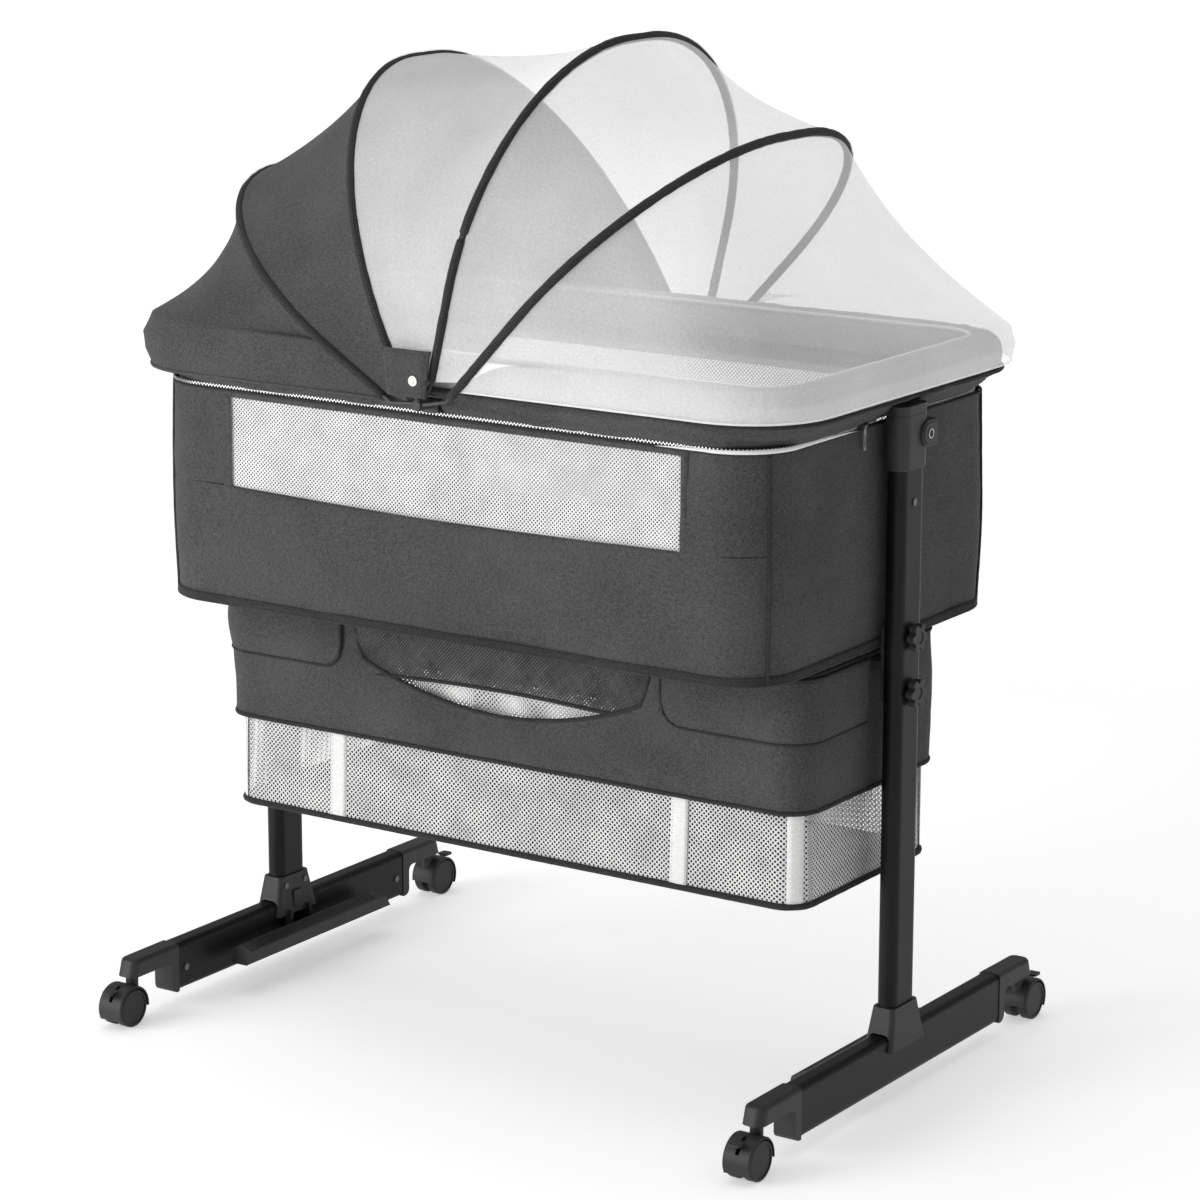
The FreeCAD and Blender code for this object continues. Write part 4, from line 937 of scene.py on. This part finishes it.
def build_basket():
    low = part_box("storage_basket")[0]
    rows = []
    outline = basket_loop(0.0, 0.010)
    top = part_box("basket_frame")[1].z - 0.005
    for r in range(31):
        share = r / 30
        z = low.z + 0.002 + (top - low.z - 0.002) * share
        row = []
        for p, out in outline:
            hang = -0.004 * math.sin(math.pi * share) + crease((p.x, p.y, z), 8, 0.0016)
            row.append(Vector((p.x, p.y, z)) + out * hang)
        rows.append(row)
    walls = grid("basket_walls", rows, BASKET_KNIT, closed=True)
    floor = underside("basket_under", BASKET_X - 0.001, BASKET_Y - 0.001, BASKET_CORNER,
                      low.z + 0.0015, BOARD)
    edge = [p + out * 0.0005 for p, out in basket_loop(low.z + 0.003)]
    piping = tube("basket_piping", edge, 0.0042, CHARCOAL_DEEP, closed=True, ripple=0.06)
    rows = [[p + out * 0.0014 for p, out in basket_loop(top - drop)]
            for drop in (0.020, 0.013, 0.006, 0.0)]
    hem = grid("basket_hem", rows, CHARCOAL_DEEP, closed=True, thick=0.0022)
    applied(hem)
    basket = join("basket_walls", [walls, floor, piping, hem])
    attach(basket, "stand")
    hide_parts("storage_basket")

    straps = []
    for x in (-0.257, 0.257):
        for side in (-1, 1):
            rows = []
            for r in range(31):
                z = low.z + 0.001 + (STRAP_TOP - low.z) * r / 30
                hang = -0.004 * math.sin(math.pi * r / 30)
                y = BASKET_Y + 0.0012 + hang
                rows.append([Vector((x + 0.012 * t, side * (y + 0.00042 * (1 - abs(t))), z))
                             for t in (-1, -0.5, 0, 0.5, 1)])
            straps.append(grid("strap", rows, WEBBING, thick=0.0012))
            applied(straps[-1])
            for t in (-0.8, 0.8):
                line = [row[2] + Vector((0.012 * t, side * 0.0012, 0)) for row in rows]
                straps.append(stitches("strap_thread", line, WEBBING))
    for x in (-1, 1):
        for side in (-1, 1):
            rows = []
            for r in range(21):
                z = low.z + 0.004 + (STRAP_TOP - low.z) * r / 20
                centre = Vector((x * (BASKET_X - BASKET_CORNER), side * (BASKET_Y - BASKET_CORNER), z))
                reach = BASKET_CORNER + 0.001
                rows.append([centre + Vector((x * math.cos(a), side * math.sin(a), 0)) * reach
                             for a in (0.5, 0.7, 0.9, 1.1)])
            straps.append(grid("corner_strip", rows, WEBBING, thick=0.0008))
            applied(straps[-1])
    webbing = join("basket_webbing", straps)
    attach(webbing, "stand")
    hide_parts("basket_straps")


def slot_edge(x, y, high):
    """Height of the band's top edge: full at the corners, scooped along the front."""
    half, bottom = 0.220, 0.442
    shoulder = high - 0.058
    if y > -0.12 or abs(x) > half + 0.012:
        return high
    if abs(x) > half - 0.012:
        share = (abs(x) - half + 0.012) / 0.024
        return shoulder + (high - shoulder) * (3 * share ** 2 - 2 * share ** 3)
    radius = (half ** 2 + (shoulder - bottom) ** 2) / (2 * (shoulder - bottom))
    return bottom + radius - math.sqrt(radius ** 2 - x ** 2)


def build_organiser():
    low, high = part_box("organiser_band")
    half_x, half_y, corner = high.x - 0.001, high.y - 0.001, BASKET_CORNER + 0.0096
    outline = loop(half_x, half_y, corner, 0.0, 0.004)
    rows = []
    for r in range(25):
        share = r / 24
        row = []
        for p, out in outline:
            top = slot_edge(p.x, p.y, high.z)
            z = low.z + (top - low.z) * share
            swell = 0.003 * math.sin(math.pi * share)
            ruck = crease((p.x, p.y, z), 10, 0.0018, (1, 1, 1.6)) + crease((p.x, p.y, z), 38, 0.0005)
            row.append(Vector((p.x, p.y, z)) + out * (swell + ruck - 0.001))
        rows.append(row)

    def skip(r, c):
        p = outline[c][0]
        return abs(p.x) > 0.40 and abs(p.y) < 0.015 and rows[r][c].z > 0.530
    band = grid("organiser_cloth", rows, CHARCOAL, closed=True, skip=skip, thick=0.0012)
    applied(band)
    trims = [band]
    for row, radius in ((rows[0], 0.0032), (rows[-1], 0.0028)):
        trims.append(tube("organiser_binding", row, radius, CHARCOAL_DEEP, closed=True, ripple=0.06, sides=8))
    second = [p + out * 0.0008 for p, (q, out) in zip(rows[1], outline)]
    trims.append(stitches("organiser_stitch", second, THREAD))
    cloth = join("organiser_cloth", trims)
    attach(cloth, "stand")
    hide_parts("organiser_band")

    pockets = []
    bottom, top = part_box("organiser_pockets")[0].z, high.z - 0.004
    for side in (-1, 1):
        rows = []
        ring = [(p, out) for p, out in loop(half_x + 0.004, half_y + 0.004, corner + 0.004, 0.0, 0.004)
                if p.x * side > 0.238 and p.y < -0.022]
        ring.sort(key=lambda pair: (pair[0].x * side if pair[0].y < -half_y + 0.02 else 1 + pair[0].y))
        length = len(ring)
        for r in range(17):
            share = r / 16
            row = []
            for c, (p, out) in enumerate(ring):
                from_edge = c * 0.004
                rise = 0.030 - math.sqrt(max(0, 0.030 ** 2 - max(0, 0.030 - from_edge) ** 2))
                z = bottom + rise + (top - bottom - rise) * share
                middle = math.sin(math.pi * min(1, max(0.02, c / (length - 1)))) ** 0.5
                swell = 0.0045 * math.sin(math.pi * share) * middle
                row.append(Vector((p.x, p.y, z)) + out * (swell + crease((p.x, p.y, z), 13, 0.0014)))
            rows.append(row)
        patch = grid("pocket_patch", rows, CHARCOAL, thick=0.0012)
        applied(patch)
        pockets.append(patch)
        border = [row[0] for row in rows[::-1]] + rows[0][1:]
        pockets.append(tube("pocket_binding", border, 0.0022, CHARCOAL_DEEP, sides=8, ripple=0.06))
        pockets.append(tube("pocket_top", rows[-1], 0.0024, CHARCOAL_DEEP, sides=8, ripple=0.06))
    patches = join("pocket_patches", pockets)
    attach(patches, "stand")
    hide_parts("organiser_pockets")

    hooks = []
    for x in (-0.199, 0.199):
        rows = []
        for lift, back in ((-0.016, 0.0), (-0.010, -0.0016), (-0.003, -0.0022),
                           (0.003, -0.0014), (0.006, 0.003), (0.006, 0.008)):
            rows.append([Vector((x + 0.011 * t, low.y + back - 0.0018, high.z + lift + 0.002))
                         for t in (-1, -0.9, -0.3, 0.3, 0.9, 1)])
        hooks.append(grid("hook", rows, CLIP, thick=0.0016))
        applied(hooks[-1])
    hook = join("organiser_hooks", hooks)
    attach(hook, "stand")

    a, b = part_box("organiser_mesh")
    rows = []
    for r in range(13):
        row = []
        for c in range(61):
            x = a.x + (b.x - a.x) * c / 60
            dip = -0.008 * math.sin(math.pi * c / 60)
            z = a.z - dip + (b.z - a.z + dip) * r / 12
            y = a.y + 0.0004 - 0.002 * math.sin(math.pi * r / 12) + crease((x, 0, z), 12, 0.0008)
            row.append(Vector((x, y, z)))
        rows.append(row)
    knit = grid("pocket_knit", rows, POCKET_KNIT)
    binding = tube("pocket_knit_binding", rows[0], 0.0026, CHARCOAL_DEEP, sides=8)
    panel = join("pocket_knit", [knit, binding])
    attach(panel, "stand")
    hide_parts("organiser_mesh")


# ---------------------------------------------------------------- studio

FLOOR_RADIUS = 60.0


def build_studio():
    """A flat pale floor out to the horizon, so that no view is blocked, and soft lights."""
    angles = [math.tau * i / 64 for i in range(64)]
    ring = [(FLOOR_RADIUS * math.cos(a), FLOOR_RADIUS * math.sin(a), -0.0002) for a in angles]
    look = Look("studio_floor", 0.6, Specular_IOR_Level=0.2, Emission_Color=(1, 1, 1, 1))
    look.colour(look.grain("Object", (0.6, 0.6, 0.6)), (0.90, 0.90, 0.90), (0.92, 0.92, 0.92))
    distance = look.node("ShaderNodeVectorMath", operation="LENGTH")
    look.link(look.coordinates.outputs["Object"], distance.inputs[0])
    glow = look.node("ShaderNodeMapRange")      # the lights don't reach far out, so the floor helps there
    for socket, value in (("From Min", 1.8), ("From Max", 6.0), ("To Min", 0.42), ("To Max", 0.72)):
        glow.inputs[socket].default_value = value
    look.link(distance.outputs["Value"], glow.inputs["Value"])
    look.link(glow.outputs["Result"], look.shader.inputs["Emission Strength"])
    new_mesh("studio_floor", ring, [tuple(range(64))], look.material)
    world = bpy.data.worlds.new("studio")
    bpy.context.scene.world = world
    world.use_nodes = True
    world.node_tree.nodes["Background"].inputs["Color"].default_value = (1, 1, 1, 1)
    world.node_tree.nodes["Background"].inputs["Strength"].default_value = 0.36
    for name, place, power, width, aim in (
            ("key", (-3.0, -4.6, 1.7), 200, 3.2, (0, 0, 0.7)),
            ("top", (-0.4, 0.3, 4.4), 60, 4.0, (0, 0, 0.8))):
        data = bpy.data.lights.new(name, "AREA")
        data.energy = power
        data.size = width
        lamp = bpy.data.objects.new(name, data)
        bpy.context.scene.collection.objects.link(lamp)
        lamp.location = place
        lamp.rotation_euler = (Vector(aim) - Vector(place)).to_track_quat("-Z", "Y").to_euler()


def build_camera():
    data = bpy.data.cameras.new("camera")
    data.sensor_width = 36
    data.lens = 117.41
    camera = bpy.data.objects.new("camera", data)
    bpy.context.scene.collection.objects.link(camera)
    camera.location = (2.6840, -3.9452, 1.6962)
    aim = (Vector((-0.2389, 0.4129, 0.4420)) - camera.location).to_track_quat("-Z", "Y")
    camera.rotation_euler = aim.to_euler()
    camera.rotation_euler.rotate_axis("Z", math.radians(0.062))
    bpy.context.scene.camera = camera
    bpy.context.scene.view_settings.view_transform = "Standard"


dress_frame()
build_body()
build_mattress()
build_roll()
build_band()
build_zip()
build_button_rings()
build_canopy()
build_tab()
build_basket()
build_organiser()
build_studio()
build_camera()
